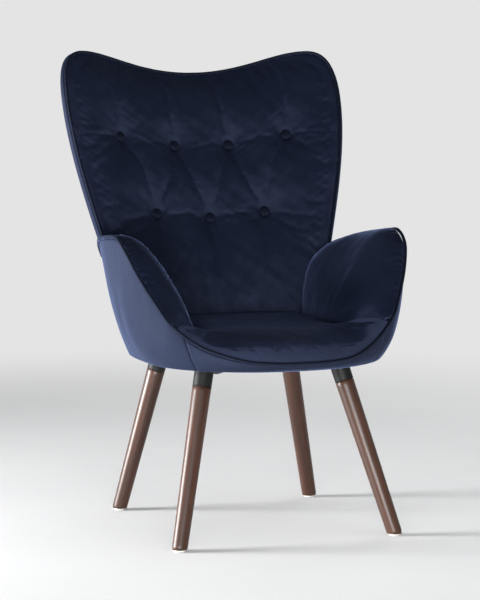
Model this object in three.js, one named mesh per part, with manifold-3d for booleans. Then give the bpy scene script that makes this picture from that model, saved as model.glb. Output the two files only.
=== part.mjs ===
// Button-tufted wing-back armchair on four splayed timber legs.
//
// Millimetres. +Z is up, -Y is the front, +X is the side on the right of someone who faces
// the chair's front. The origin is the middle of the bounding box, on the floor.

import * as THREE from 'three';
import { mergeVertices } from 'three/addons/utils/BufferGeometryUtils.js';
import Module from 'manifold-3d';

const wasm = await Module();
wasm.setup();

// ---- Driving dimensions ----------------------------------------------------------------

// Heights. BASE is the underside of the upholstery; each rise is measured from it.
const BASE = 377;
const BACK_RISE = 673; // to the tips of the wings
const TOP_DIP = 51; // how far the top edge drops between the wings
const BACK_FOOT_RISE = 13; // to the back's lower edge
const ARM_RISE = 273; // to the highest point of the arm's rim
const ARM_REAR_RISE = 211; // to the rim where it meets the back
const FRONT_RISE = 22; // to the rim at the middle of the front
const SEAT_RISE = 73; // to the seat's edge along the arms
const SEAT_CROWN = 5; // how much higher the middle of the seat is

// Widths and depths. Y = 0 is halfway between the front and the back feet.
const WING_HALF_WIDTH = 334;
const BACK_FOOT_HALF_WIDTH = 222;
const TUB_HALF_WIDTH = 333;
const TUB_BASE_HALF_WIDTH = 261;
const SEAT_HALF_WIDTH = 165;
const RIM_FRONT = -335;
const TUB_BASE_FRONT = -296;
const BACK_FACE = 207.5; // Y of the back's edge line at seat height, on the centre line
const RECLINE = 0.394; // millimetres back for each millimetre up
const BACK_CURVATURE = 0.88e-3; // the wings come forward by this times x squared

// Layers of the back, front to rear, measured along its normal from the edge line.
const BACK_CROWN = 22;
const COVER_THICKNESS = 1.8;
const FOAM_REAR = 16.4;
const PLY_FRONT = 17;
const PLY_THICKNESS = 9;
const OUTER_COVER_REAR = 33;
const OUTER_COVER_THICKNESS = 2;
const EDGE_TAPER = 13; // the layers behind the face are this much closer to it at the edge
const PAD_EDGE_DEPTH = 3.3; // the pad's cover turns back this far at its edge
const OUTER_EDGE_ROUNDING = 4;
const OUTER_EDGE_INSET = 2.5;
const GAP = 0.35; // between pieces that rest on each other
const LAYER_GAP = 0.9; // between curved layers

// Welts, the piping along the back's edge and along the tub's rim.
const WELT_RADIUS = 3.5;
const WELT_CLEARANCE = 1.6;
const WELT_DEPTH = 2; // of its centre line, behind the back's edge line
const BACK_WELT_START_RISE = 180;

// Tuft buttons, as [x, rise]; the first row is mirrored, and so is the second.
const BUTTON_RADIUS = 11.5;
const BUTTON_CROWN = 5;
const BUTTON_BACK = 1.5; // from its widest part to its back
const BUTTON_SINK = 9; // how deep the pad is pulled in under a button
const BUTTON_CLEARANCE = 0.8;
const SHANK_RADIUS = 2.5;
const SHANK_END = 2; // past the ply
const ANCHOR_RADIUS = 10;
const ANCHOR_THICKNESS = 2;
const BUTTONS = [[-206, 473], [-68, 448], [68, 448], [206, 473], [-134, 296], [0, 283], [134, 296]];

// Tub: the wall that runs round both arms and the front.
const TUB_BULGE = 29; // at the front corners; it fades towards the back
const COVER_LAP = 12; // the arm's outer cover laps the back's edge band by this much
const RIM_REAR_STAND = 6; // the rim's rear end stands this clear of the band
const LOWER_REAR_STAND = 5;
const LOWER_REAR_RISE = 8; // where the band's width is taken for the lower edge
const RIM_STEP = 36; // the longest straight stretch along the rim
const ARM_FRAME_THICKNESS = 8;
const ARM_FRAME_BELOW_RIM = 18;
const ARM_FRAME_FOOT_RISE = 30;
const ARM_FOAM_BELOW_RIM = 30;
const ARM_FOAM_FOOT_RISE = 33;

// Seat pad and seat frame.
const SEAT_MIDDLE_Y = -60;
const SEAT_TUCK = 8; // the seat cover is tucked down this far at its edge
const FOAM_FOOT_SHARE = 0.92; // the foam's foot, as a share of the way out to the seat's edge
const RAIL_INSET = 6;
const RAIL_WIDTH = 22;
const RAIL_FOOT_RISE = 3;
const RAIL_HEIGHT = 16;
const CROSS_RAIL_WIDTH = 50;
const BOARD_FOOT_RISE = 19.4;
const BOARD_THICKNESS = 8;
const BOARD_INSET = 8;
const BOARD_REAR = 150;
const DUST_COVER_RISE = 0.5;
const DUST_COVER_THICKNESS = 1.5;

// Legs and the steel underframe. Each leg: where its axis meets its plate, where it meets the
// floor, and the bolt that holds the plate to a cross rail.
const LEGS = [
  { name: 'front_left', top: [-153, -133], foot: [-247, -240], bolt: [-118, -141] },
  { name: 'front_right', top: [153, -133], foot: [247, -240], bolt: [118, -141] },
  { name: 'rear_left', top: [-152, 174], foot: [-235, 240], bolt: [-160, 112] },
  { name: 'rear_right', top: [152, 174], foot: [235, 240], bolt: [160, 112] },
];
const LEG_TOP_RADIUS = 21;
const LEG_FOOT_RADIUS = 16.5;
const TENON_RADIUS = 17;
const FERRULE_LENGTH = 50;
const TENON_END = 3; // from the tenon to the plate
const STUD_RADIUS = 4;
const STUD_DEPTH = 34;
const GLIDE_RADIUS = 12.5;
const GLIDE_THICKNESS = 4;
const GLIDE_PIN_RADIUS = 1.6;
const GLIDE_PIN_LENGTH = 14;
const PLATE_THICKNESS = 4;
const PLATE_MARGIN = 21; // in front of and behind the leg's axis and the bolt
const PLATE_OUTREACH = 25; // past the leg's axis, towards the outside
const PLATE_INREACH = 62; // past the leg's axis, towards the middle
const CROSS_BAR_WIDTH = 30;
const CROSS_BAR_HEIGHT = 18;
const CROSS_BAR_STAND = 9; // from the bar's end to the leg
const FRAME_BOLT_RADIUS = 3;
const FRAME_BOLT_HEAD_RADIUS = 6;
const FRAME_BOLT_HEAD_HEIGHT = 4;

// ---- Materials -------------------------------------------------------------------------

const material = (color, roughness, metalness) =>
  new THREE.MeshStandardMaterial({ color, roughness, metalness });
const VELVET = material(0x2b3350, 0.85, 0);
const VELVET_WELT = material(0x232a44, 0.8, 0);
const FOAM = material(0xe8dcb8, 0.95, 0);
const PLY = material(0xc9a572, 0.7, 0);
const WALNUT = material(0x7a5648, 0.45, 0);
const GUNMETAL = material(0x3c3f42, 0.35, 0.9);
const BLACK_STEEL = material(0x17181a, 0.5, 0.7);
const ZINC = material(0xb4b7ba, 0.35, 0.95);
const LINING = material(0x1d1d1f, 0.95, 0);
const GLIDE = material(0xd8d4cc, 0.5, 0);

// ---- Solids ----------------------------------------------------------------------------

const chair = new THREE.Group();

function add(name, geometry, finish) {
  const mesh = new THREE.Mesh(geometry, finish);
  mesh.name = name;
  chair.add(mesh);
}

const point = (x, y, z) => new THREE.Vector3(x, y, z);
const mirrored = (p) => point(-p.x, p.y, p.z);
const lerp = THREE.MathUtils.lerp;
const steps = (from, to, count) =>
  Array.from({ length: count + 1 }, (_, i) => lerp(from, to, i / count));

const spread = (ring) => ring[0].distanceTo(ring[Math.floor(ring.length / 2)]);

function indexed(points, index) {
  const geometry = new THREE.BufferGeometry().setFromPoints(points);
  geometry.setIndex(index);
  return facingOut(geometry);
}

// Turns every face round when the faces of a closed geometry point inwards.
function facingOut(geometry) {
  const position = geometry.attributes.position;
  const index = geometry.index.array;
  const [a, b, c] = [point(), point(), point()];
  let volume = 0;
  for (let i = 0; i < index.length; i += 3) {
    a.fromBufferAttribute(position, index[i]);
    b.fromBufferAttribute(position, index[i + 1]);
    c.fromBufferAttribute(position, index[i + 2]);
    volume += a.dot(b.cross(c));
  }
  if (volume < 0) {
    for (let i = 0; i < index.length; i += 3) {
      [index[i + 1], index[i + 2]] = [index[i + 2], index[i + 1]];
    }
  }
  return geometry;
}

// Joins a stack of rings into one solid. A ring of one point closes its end. Faces are split
// on the same diagonal whichever way the stack runs, so nested layers don't touch.
function stack(rings) {
  const index = [];
  const starts = [];
  let count = 0;
  for (const ring of rings) {
    starts.push(count);
    count += ring.length;
  }
  for (let i = 0; i + 1 < rings.length; i++) {
    const [low, high] = [rings[i].length, rings[i + 1].length];
    const widens = spread(rings[i]) <= spread(rings[i + 1]);
    for (let j = 0; j < Math.max(low, high); j++) {
      const a = starts[i] + (j % low);
      const b = starts[i] + ((j + 1) % low);
      const c = starts[i + 1] + ((j + 1) % high);
      const d = starts[i + 1] + (j % high);
      if (low > 1) index.push(...(widens ? [a, b, d] : [a, b, c]));
      if (high > 1) index.push(...(widens ? [b, c, d] : [a, c, d]));
    }
  }
  return indexed(rings.flat(), index);
}

// A wall between two grids of the same size.
function wall(outer, inner) {
  const [rows, columns] = [outer.length, outer[0].length];
  const index = [];
  const at = (side, i, j) => (side * rows + i) * columns + j;
  const quad = (a, b, c, d) => index.push(a, b, c, a, c, d);
  for (let i = 0; i + 1 < rows; i++) {
    for (let j = 0; j + 1 < columns; j++) {
      quad(at(0, i, j), at(0, i + 1, j), at(0, i + 1, j + 1), at(0, i, j + 1));
      quad(at(1, i, j), at(1, i, j + 1), at(1, i + 1, j + 1), at(1, i + 1, j));
    }
    quad(at(0, i + 1, 0), at(0, i, 0), at(1, i, 0), at(1, i + 1, 0));
    const last = columns - 1;
    quad(at(0, i, last), at(0, i + 1, last), at(1, i + 1, last), at(1, i, last));
  }
  for (let j = 0; j + 1 < columns; j++) {
    const last = rows - 1;
    quad(at(0, 0, j), at(0, 0, j + 1), at(1, 0, j + 1), at(1, 0, j));
    quad(at(0, last, j + 1), at(0, last, j), at(1, last, j), at(1, last, j + 1));
  }
  return indexed([...outer.flat(), ...inner.flat()], index);
}

const grid = (rows, columns, place) => rows.map((u) => columns.map((v) => place(u, v)));

function toSolid(geometry) {
  const bare = geometry.clone();
  bare.deleteAttribute('normal');
  bare.deleteAttribute('uv');
  const merged = mergeVertices(bare, 1e-3);
  const index = merged.index.array;
  const triangles = [];
  for (let i = 0; i < index.length; i += 3) {
    const [a, b, c] = [index[i], index[i + 1], index[i + 2]];
    if (a !== b && b !== c && c !== a) triangles.push(a, b, c);
  }
  const vertProperties = new Float32Array(merged.attributes.position.array);
  const triVerts = new Uint32Array(triangles);
  return new wasm.Manifold(new wasm.Mesh({ numProp: 3, vertProperties, triVerts }));
}

function toGeometry(solid) {
  const mesh = solid.getMesh();
  const geometry = new THREE.BufferGeometry();
  geometry.setAttribute('position', new THREE.BufferAttribute(mesh.vertProperties, 3));
  geometry.setIndex(new THREE.BufferAttribute(mesh.triVerts, 1));
  return geometry;
}

const cut = (geometry, ...tools) =>
  toGeometry(tools.reduce((solid, tool) => solid.subtract(toSolid(tool)), toSolid(geometry)));

const join = (a, b) => toGeometry(toSolid(a).add(toSolid(b)));

// Stands a geometry made along +Y on the line through origin in the given direction.
function standing(geometry, origin, direction) {
  const turn = new THREE.Quaternion().setFromUnitVectors(point(0, 1, 0), direction);
  return geometry.applyQuaternion(turn).translate(origin.x, origin.y, origin.z);
}

function turned(profile, segments = 16) {
  return new THREE.LatheGeometry(profile.map(([r, y]) => new THREE.Vector2(r, y)), segments);
}

const rod = (radius, from, to, segments = 12) =>
  turned([[0, from], [radius, from], [radius, to], [0, to]], segments);

function box(xs, ys, zs) {
  const geometry = new THREE.BoxGeometry(xs[1] - xs[0], ys[1] - ys[0], zs[1] - zs[0]);
  return geometry.translate((xs[0] + xs[1]) / 2, (ys[0] + ys[1]) / 2, (zs[0] + zs[1]) / 2);
}

function piping(points, stepCount) {
  const section = new THREE.Shape(new THREE.Path().absarc(0, 0, WELT_RADIUS, 0, 2 * Math.PI)
    .getSpacedPoints(6).slice(0, 6));
  const extrudePath = new THREE.CatmullRomCurve3(points);
  return new THREE.ExtrudeGeometry(section, { steps: stepCount, extrudePath, bevelEnabled: false });
}

// ---- Back: its edge line, its face and its layers --------------------------------------

const flat = (x, z) => new THREE.Vector2(x, z);
const SIDE_TOP_RISE = BACK_RISE - 100;
const WING_TIP = 0.83 * WING_HALF_WIDTH;

// Right half of the edge line, foot to top, in X and Z.
const sideCurve = new THREE.CubicBezierCurve(
  flat(BACK_FOOT_HALF_WIDTH, BASE + BACK_FOOT_RISE),
  flat(lerp(BACK_FOOT_HALF_WIDTH, WING_HALF_WIDTH, 0.27), BASE + 0.33 * SIDE_TOP_RISE),
  flat(WING_HALF_WIDTH, BASE + 0.695 * SIDE_TOP_RISE),
  flat(WING_HALF_WIDTH, BASE + SIDE_TOP_RISE));
const cornerCurve = new THREE.CubicBezierCurve(
  flat(WING_HALF_WIDTH, BASE + SIDE_TOP_RISE),
  flat(WING_HALF_WIDTH, BASE + BACK_RISE - 32),
  flat(0.95 * WING_HALF_WIDTH, BASE + BACK_RISE),
  flat(WING_TIP, BASE + BACK_RISE));
const topCurve = new THREE.CubicBezierCurve(
  flat(WING_TIP, BASE + BACK_RISE),
  flat(0.614 * WING_HALF_WIDTH, BASE + BACK_RISE),
  flat(0.39 * WING_HALF_WIDTH, BASE + BACK_RISE - TOP_DIP),
  flat(0, BASE + BACK_RISE - TOP_DIP));

const halfEdge = [
  ...sideCurve.getPoints(6),
  ...cornerCurve.getPoints(4).slice(1),
  ...topCurve.getPoints(5).slice(1),
];
const footEdge = steps(-1, 1, 4).slice(1, -1).map((share) =>
  flat(share * BACK_FOOT_HALF_WIDTH, BASE + BACK_FOOT_RISE));
const backEdge = [
  ...halfEdge,
  ...halfEdge.slice(0, -1).reverse().map((p) => flat(-p.x, p.y)),
  ...footEdge,
];
const backEdgeNormals = backEdge.map((_, i) => {
  const before = backEdge.at(i - 1);
  const after = backEdge[(i + 1) % backEdge.length];
  return flat(after.y - before.y, before.x - after.x).normalize();
});
const BACK_MIDDLE = flat(0, BASE + 0.52 * BACK_RISE);

const backY = (x, z) => BACK_FACE + RECLINE * (z - BASE - SEAT_RISE) - BACK_CURVATURE * x * x;
const backNormal = (x) => point(2 * BACK_CURVATURE * x, 1, -RECLINE).normalize();
const backPoint = (x, z, depth) =>
  point(x, backY(x, z), z).addScaledVector(backNormal(x), depth);

// The pad is fullest in its middle; share is 0 there and 1 on the edge line.
const padDepth = (share) => -BACK_CROWN * (1 - share ** 4);

// How deep a layer behind the face lies, when it is nominal deep in the middle.
const layerDepth = (nominal, share) => nominal - EDGE_TAPER * share ** 3;

// A ring of the back at a share of the way from its middle to its edge line. The outermost
// ring is moved in by inset.
function backRing(share, inset, depth) {
  if (share === 0) return [backPoint(BACK_MIDDLE.x, BACK_MIDDLE.y, depth)];
  return backEdge.map((edge, i) => {
    const rim = edge.clone().addScaledVector(backEdgeNormals[i], share < 1 ? 0 : -inset);
    const p = BACK_MIDDLE.clone().lerp(rim, share);
    return backPoint(p.x, p.y, depth);
  });
}
const backLayer = (sections) => stack(sections.map((section) => backRing(...section)));

// How far out a place on the back is, as a share of the way to the edge line.
function backShare(x, z) {
  const ray = flat(x, z).sub(BACK_MIDDLE);
  for (let i = 0; i < backEdge.length; i++) {
    const a = backEdge[i].clone().sub(BACK_MIDDLE);
    const b = backEdge[(i + 1) % backEdge.length].clone().sub(BACK_MIDDLE);
    const across = b.clone().sub(a);
    const reach = a.cross(across) / ray.cross(across);
    const along = ray.cross(a) / across.cross(ray);
    if (reach > 0 && along >= 0 && along <= 1) return 1 / reach;
  }
  return 0;
}
const padY = (x, z) => backY(x, z) + padDepth(Math.min(backShare(x, z), 1));

// Half width of the back's edge line at a height below the wings' widest part.
function backHalfWidth(z) {
  let [low, high] = [0, 1];
  for (let i = 0; i < 30; i++) {
    const middle = (low + high) / 2;
    if (sideCurve.getPoint(middle).y < z) low = middle;
    else high = middle;
  }
  return sideCurve.getPoint(low).x;
}

const SHARES = [0, 0.36, 0.6, 0.8, 0.93, 1];
const INNER_EDGE = 2 * WELT_RADIUS + WELT_CLEARANCE;
const BAND_FRONT = WELT_DEPTH + WELT_RADIUS + WELT_CLEARANCE;
const PLY_REAR = PLY_FRONT + PLY_THICKNESS;

const padFace = (inset, behind) =>
  SHARES.map((share) => [share, inset, padDepth(share) + behind]);
const layerFace = (inset, nominal) =>
  SHARES.map((share) => [share, inset, layerDepth(nominal, share)]);

const innerCover = backLayer([
  ...padFace(INNER_EDGE, 0),
  [1, INNER_EDGE, PAD_EDGE_DEPTH],
  [1, INNER_EDGE + COVER_THICKNESS, PAD_EDGE_DEPTH],
  ...padFace(INNER_EDGE + COVER_THICKNESS, COVER_THICKNESS).reverse(),
]);
const foamEdge = INNER_EDGE + COVER_THICKNESS + LAYER_GAP;
const backFoam = backLayer([
  ...padFace(foamEdge, COVER_THICKNESS + GAP),
  ...layerFace(foamEdge, FOAM_REAR).reverse(),
]);
const plyEdge = INNER_EDGE + 1;
const backPly = backLayer([
  ...layerFace(plyEdge, PLY_FRONT),
  ...layerFace(plyEdge, PLY_REAR).reverse(),
]);
const outerInside = OUTER_COVER_REAR - OUTER_COVER_THICKNESS;
const outerCover = backLayer([
  ...layerFace(OUTER_EDGE_INSET, OUTER_COVER_REAR),
  [1, 0, layerDepth(OUTER_COVER_REAR, 1) - OUTER_EDGE_ROUNDING],
  [1, 0, BAND_FRONT],
  [1, OUTER_COVER_THICKNESS, BAND_FRONT],
  ...layerFace(OUTER_COVER_THICKNESS, outerInside).reverse(),
]);

// Takes away everything behind the pad's face, and a margin beyond the edge line.
const SPACE_MARGIN = 14;
const SPACE_DEPTH = 160;
const backSpace = backLayer([
  ...padFace(-SPACE_MARGIN, -LAYER_GAP),
  [1, -SPACE_MARGIN, SPACE_DEPTH],
  [0, 0, SPACE_DEPTH],
]);

// ---- Tuft buttons, through the pad and the ply -----------------------------------------

// How deep a layer's facets lie at a place on the back, met from the front or from the rear.
function facetDepth(geometry, x, z, fromRear) {
  const from = backPoint(x, z, fromRear ? SPACE_DEPTH : -SPACE_DEPTH);
  const direction = backNormal(x).multiplyScalar(fromRear ? -1 : 1);
  const layer = new THREE.Mesh(geometry, VELVET);
  const [hit] = new THREE.Raycaster(from, direction).intersectObject(layer);
  return fromRear ? SPACE_DEPTH - hit.distance : hit.distance - SPACE_DEPTH;
}

const buttonPlaces = BUTTONS.map(([x, rise]) => {
  const z = BASE + rise;
  const depth = facetDepth(innerCover, x, z, false) + BUTTON_SINK;
  const underAnchor = steps(0, 2 * Math.PI, 8).map((angle) => facetDepth(backPly,
    x + ANCHOR_RADIUS * Math.cos(angle), z + ANCHOR_RADIUS * Math.sin(angle), true));
  return { x, z, depth, ply: Math.max(...underAnchor) };
});
const atButton = (geometry, { x, z, depth }) =>
  standing(geometry, backPoint(x, z, depth), backNormal(x));
const buttonHoles = buttonPlaces.map((place) => {
  const [wide, narrow] = [BUTTON_RADIUS + BUTTON_CLEARANCE, SHANK_RADIUS + 2 * GAP];
  const [front, end] = [-BACK_CROWN - BUTTON_SINK, place.ply + SHANK_END + 1 - place.depth];
  const floor = BUTTON_BACK + GAP;
  return atButton(turned([
    [0, front], [wide, front], [wide, floor], [narrow, floor], [narrow, end], [0, end],
  ], 8), place);
});

buttonPlaces.forEach((place, i) => {
  const shankEnd = place.ply + SHANK_END - place.depth;
  const button = turned([
    [0, -BUTTON_CROWN], [0.6 * BUTTON_RADIUS, -0.8 * BUTTON_CROWN], [BUTTON_RADIUS, 0],
    [BUTTON_RADIUS - 2, BUTTON_BACK], [SHANK_RADIUS, BUTTON_BACK], [SHANK_RADIUS, shankEnd],
    [0, shankEnd],
  ], 10);
  const hole = SHANK_RADIUS + 2 * GAP;
  const anchor = turned([
    [hole, 0], [ANCHOR_RADIUS, 0], [ANCHOR_RADIUS, ANCHOR_THICKNESS], [hole, ANCHOR_THICKNESS],
    [hole, 0],
  ], 8);
  add(`tuft_button_${i + 1}`, cut(atButton(button, place)), VELVET_WELT);
  add(`tuft_anchor_${i + 1}`, cut(atButton(anchor, { ...place, depth: place.ply + GAP })), ZINC);
});

add('back_cover_inner', cut(innerCover, ...buttonHoles), VELVET);
add('back_foam', cut(backFoam, ...buttonHoles), FOAM);
add('back_frame', cut(backPly, ...buttonHoles), PLY);
add('back_cover_outer', outerCover, VELVET);

const weltLine = halfEdge.filter((p) => p.y > BASE + BACK_WELT_START_RISE).map((p) => {
  const normal = backEdgeNormals[halfEdge.indexOf(p)];
  const inner = p.clone().addScaledVector(normal, -WELT_RADIUS);
  return backPoint(inner.x, inner.y, WELT_DEPTH);
});
add('back_welt', piping([...weltLine.slice(0, -1).map(mirrored), ...weltLine.reverse()], 60),
  VELVET_WELT);

// ---- Tub: the rim, the lower edge and the wall between them ----------------------------

// Stations from the middle of the front round to the back: X as a share of the half width,
// Y as a share of the way from front to back, and the rim's rise as a share of ARM_RISE
// above FRONT_RISE. The last station is worked out from the back.
const RIM_SHARES = [
  [0, 0, 0], [0.21, 0.018, 0.004], [0.39, 0.068, 0.028], [0.595, 0.166, 0.124],
  [0.754, 0.232, 0.295], [0.826, 0.274, 0.45], [0.91, 0.338, 0.673], [0.967, 0.408, 0.888],
  [0.985, 0.499, 1], [1, 0.612, 0.992], [0.988, 0.726, 0.96], [0.946, 0.832, 0.912],
  [0.895, 0.927, 0.841],
];
const LOWER_SHARES = [
  [0, 0], [0.24, 0.011], [0.46, 0.05], [0.665, 0.122], [0.825, 0.21], [0.925, 0.305],
  [0.975, 0.41], [0.995, 0.515], [1, 0.605], [1, 0.693], [0.992, 0.781], [0.972, 0.864],
  [0.93, 0.939],
];
const STATIONS = RIM_SHARES.length;

// A point beside the back's edge band, at a height, clear of the band by stand.
function besideBack(z, stand) {
  const edgeZ = z + RECLINE * COVER_LAP;
  const p = backPoint(backHalfWidth(edgeZ), edgeZ, COVER_LAP);
  return point(p.x + stand, p.y, z);
}
const rimRear = besideBack(BASE + ARM_REAR_RISE, RIM_REAR_STAND);
const lowerRear = besideBack(BASE + LOWER_REAR_RISE, LOWER_REAR_STAND).setZ(BASE);

function roundTub(half) {
  return new THREE.CatmullRomCurve3([...half.slice(1).reverse().map(mirrored), ...half],
    false, 'catmullrom');
}
const rimCurve = roundTub([...RIM_SHARES.map(([x, y, rise]) => point(x * TUB_HALF_WIDTH,
  lerp(RIM_FRONT, rimRear.y, y), BASE + lerp(FRONT_RISE, ARM_RISE, rise))), rimRear]);
const lowerCurve = roundTub([...LOWER_SHARES.map(([x, y]) => point(x * TUB_BASE_HALF_WIDTH,
  lerp(TUB_BASE_FRONT, lowerRear.y, y), BASE)), lowerRear]);

// s is a station number, 0 at the front's middle, STATIONS at the back; negative on the left.
const onCurve = (curve, s) => curve.getPoint((s / STATIONS + 1) / 2);
const rimAt = (s) => onCurve(rimCurve, s);
const lowerAt = (s) => onCurve(lowerCurve, s);

function outwardAt(s) {
  const [from, to] = [Math.max(s - 0.2, -STATIONS), Math.min(s + 0.2, STATIONS)];
  const along = rimAt(to).add(lowerAt(to)).sub(rimAt(from)).sub(lowerAt(from));
  return point(along.y, -along.x, 0).normalize();
}

// The tub's outer face at a height, moved inwards by inset.
function tubFace(s, z, inset) {
  const [top, low] = [rimAt(s), lowerAt(s)];
  const down = (top.z - z) / (top.z - low.z);
  const tall = THREE.MathUtils.clamp((top.z - low.z) / ARM_RISE, 0.25, 1);
  const rear = 1 - 0.9 * THREE.MathUtils.smoothstep(Math.abs(s), 0.45 * STATIONS, STATIONS);
  const swell = TUB_BULGE * tall * rear * 4 * down * (1 - down) * (0.55 + 0.9 * down);
  return top.lerp(low, down).addScaledVector(outwardAt(s), swell - inset);
}

// A wall that follows the tub's face between two stations, from near the rim to a rise.
function tubWall(stations, belowRim, footRise, insets, rowCount) {
  const sides = insets.map((inset) => stations.map((s) =>
    steps(rimAt(s).z - belowRim, BASE + footRise, rowCount).map((z) => tubFace(s, z, inset))));
  return wall(...sides);
}

const SEAM = 3.55; // where the front cover meets the arm covers
const ARM_TIP = 4; // where the arm pad runs out against the rim
const ARM_SQUARES_UP = [8.5, 12.5]; // the pad's round shoulder turns squarer towards the back
const underWelt = WELT_RADIUS + WELT_CLEARANCE;
const frameInset = OUTER_COVER_THICKNESS + 2 * LAYER_GAP;
const foamInset = frameInset + ARM_FRAME_THICKNESS + LAYER_GAP;

const belowFrontWelt = 1.2 * underWelt;

add('front_cover', tubWall(steps(-SEAM, SEAM, 18), belowFrontWelt, 0, [0, OUTER_COVER_THICKNESS],
  3), VELVET);
add('tub_welt', piping(steps(-STATIONS, STATIONS, 78).map(rimAt), 64), VELVET_WELT);

// Where the arm pad meets the seat, station by station from the arm's tip to the back.
const FOOT_LINE = [
  [1.3, 0.105, 22], [1.11, 0.17, 12], [1.03, 0.27, 3], [1, 0.37, 0], [1, 0.47, 0],
  [1.02, 0.59, 0], [1.05, 0.72, 0], [1.09, 0.86, 0], [1.14, 1, 0],
];
const footFrom = rimAt(ARM_TIP);
const footTo = backY(SEAT_HALF_WIDTH, BASE + SEAT_RISE);
const footCurve = new THREE.CatmullRomCurve3([footFrom, ...FOOT_LINE.map(([x, y, rise]) =>
  point(x * SEAT_HALF_WIDTH, lerp(footFrom.y, footTo, y), BASE + SEAT_RISE + rise))],
false, 'catmullrom');
const footAt = (s) => footCurve.getPoint((s - ARM_TIP) / (STATIONS - ARM_TIP));

// The arm pad's face from the rim (v = 0) over its crown and down to the seat (v = 1),
// moved into the arm by inset.
function armFace(s, v, inset) {
  const [rim, foot] = [rimAt(s), footAt(s)];
  const inward = point(foot.x - rim.x, foot.y - rim.y, 0);
  const reach = inward.length();
  const drop = rim.z - foot.z;
  inward.normalize();
  const squareness = THREE.MathUtils.smoothstep(s, ...ARM_SQUARES_UP);
  const towards = (round, square) => lerp(round, square, squareness);
  const section = new THREE.CubicBezierCurve(
    flat(underWelt, 1), flat(towards(0.25, 0.5) * reach + 2, towards(0.08, 0.05) * drop + 2),
    flat(towards(0.73, 0.86) * reach, towards(-0.29, -0.12) * drop), flat(reach, -drop));
  const p = section.getPoint(v);
  const t = section.getTangent(v);
  const [across, up] = [p.x + t.y * inset, p.y - t.x * inset];
  return rim.addScaledVector(inward, across).add(point(0, 0, up));
}

const SEAM_GAP = 0.03; // in stations
const rimLength = rimCurve.getLength() * (STATIONS - SEAM) / (2 * STATIONS);
const armStationCount = Math.ceil(rimLength / RIM_STEP);
const armStations = steps(SEAM + SEAM_GAP, STATIONS, armStationCount);
const padStations = armStations.filter((s) => s > ARM_TIP + 0.4);
const foamStations = armStations.filter((s) => s > ARM_TIP + 2.2);
const frameStations = armStations.filter((s) => s > ARM_TIP + 1.6);
const across = steps(0, 1, 7);
const foamAcross = across.slice(1);
const armCover = wall(grid(padStations, across, (s, v) => armFace(s, v, 0)),
  grid(padStations, across, (s, v) => armFace(s, v, COVER_THICKNESS)));
const armFoam = wall(
  grid(foamStations, foamAcross, (s, v) => armFace(s, v, COVER_THICKNESS + LAYER_GAP)),
  foamStations.map((s) => steps(rimAt(s).z - ARM_FOAM_BELOW_RIM, BASE + ARM_FOAM_FOOT_RISE,
    foamAcross.length - 1)
    .map((z) => tubFace(s, z, foamInset))));
const armFrame = tubWall(frameStations, ARM_FRAME_BELOW_RIM, ARM_FRAME_FOOT_RISE,
  [frameInset, frameInset + ARM_FRAME_THICKNESS], 5);
const armOuter = tubWall(armStations, 2 * WELT_RADIUS, 0, [0, OUTER_COVER_THICKNESS], 6);

function addArm(side, flip) {
  const place = (geometry) => toGeometry(toSolid(geometry).scale([flip, 1, 1]));
  add(`arm_cover_inner_${side}`, place(cut(armCover, backSpace)), VELVET);
  add(`arm_foam_${side}`, place(cut(armFoam, backSpace)), FOAM);
  add(`arm_frame_${side}`, place(cut(armFrame, backSpace)), PLY);
  add(`arm_cover_outer_${side}`, place(armOuter), VELVET);
}
addArm('left', -1);
addArm('right', 1);

// ---- Seat: cover, foam, board, rails and the lining under it ---------------------------

// Right half of the seat's edge, from the front's middle to the middle of the back.
const frontStations = steps(0, ARM_TIP - 0.2, 5);
const seatFront = frontStations.map((s) =>
  rimAt(s).addScaledVector(outwardAt(s), -underWelt - GAP).add(point(0, 0, 1)));
const seatSide = padStations.map((s) => {
  const [rim, foot] = [rimAt(s), footAt(s)];
  const inward = point(foot.x - rim.x, foot.y - rim.y, 0).normalize();
  return foot.addScaledVector(inward, LAYER_GAP + GAP);
});
const rearX = seatSide.at(-1).x;
const rearZ = BASE + SEAT_RISE;
const seatRear = steps(rearX, 0, 3).slice(1).map((x) => point(x, padY(x, rearZ), rearZ));
const seatHalf = [...seatFront, ...seatSide, ...seatRear];
const seatEdge = [...seatHalf, ...seatHalf.slice(1, -1).reverse().map(mirrored)];
const SEAT_MIDDLE = point(0, SEAT_MIDDLE_Y, BASE + SEAT_RISE + SEAT_CROWN);

function seatRing(share, lower) {
  if (share === 0) return [SEAT_MIDDLE.clone().setZ(SEAT_MIDDLE.z - lower)];
  return seatEdge.map((edge) => {
    const top = lerp(SEAT_MIDDLE.z, edge.z, share ** 5);
    return SEAT_MIDDLE.clone().lerp(edge, share).setZ(top - lower);
  });
}
const SEAT_SHARES = [0, 0.4, 0.66, 0.84, 0.95];
const seatCover = stack([
  ...[...SEAT_SHARES, 1].map((share) => seatRing(share, 0)),
  seatRing(0.975, SEAT_TUCK),
  seatRing(0.963, SEAT_TUCK),
  seatRing(0.985, COVER_THICKNESS + 0.4),
  ...SEAT_SHARES.toReversed().map((share) => seatRing(share, COVER_THICKNESS)),
]);

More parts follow.
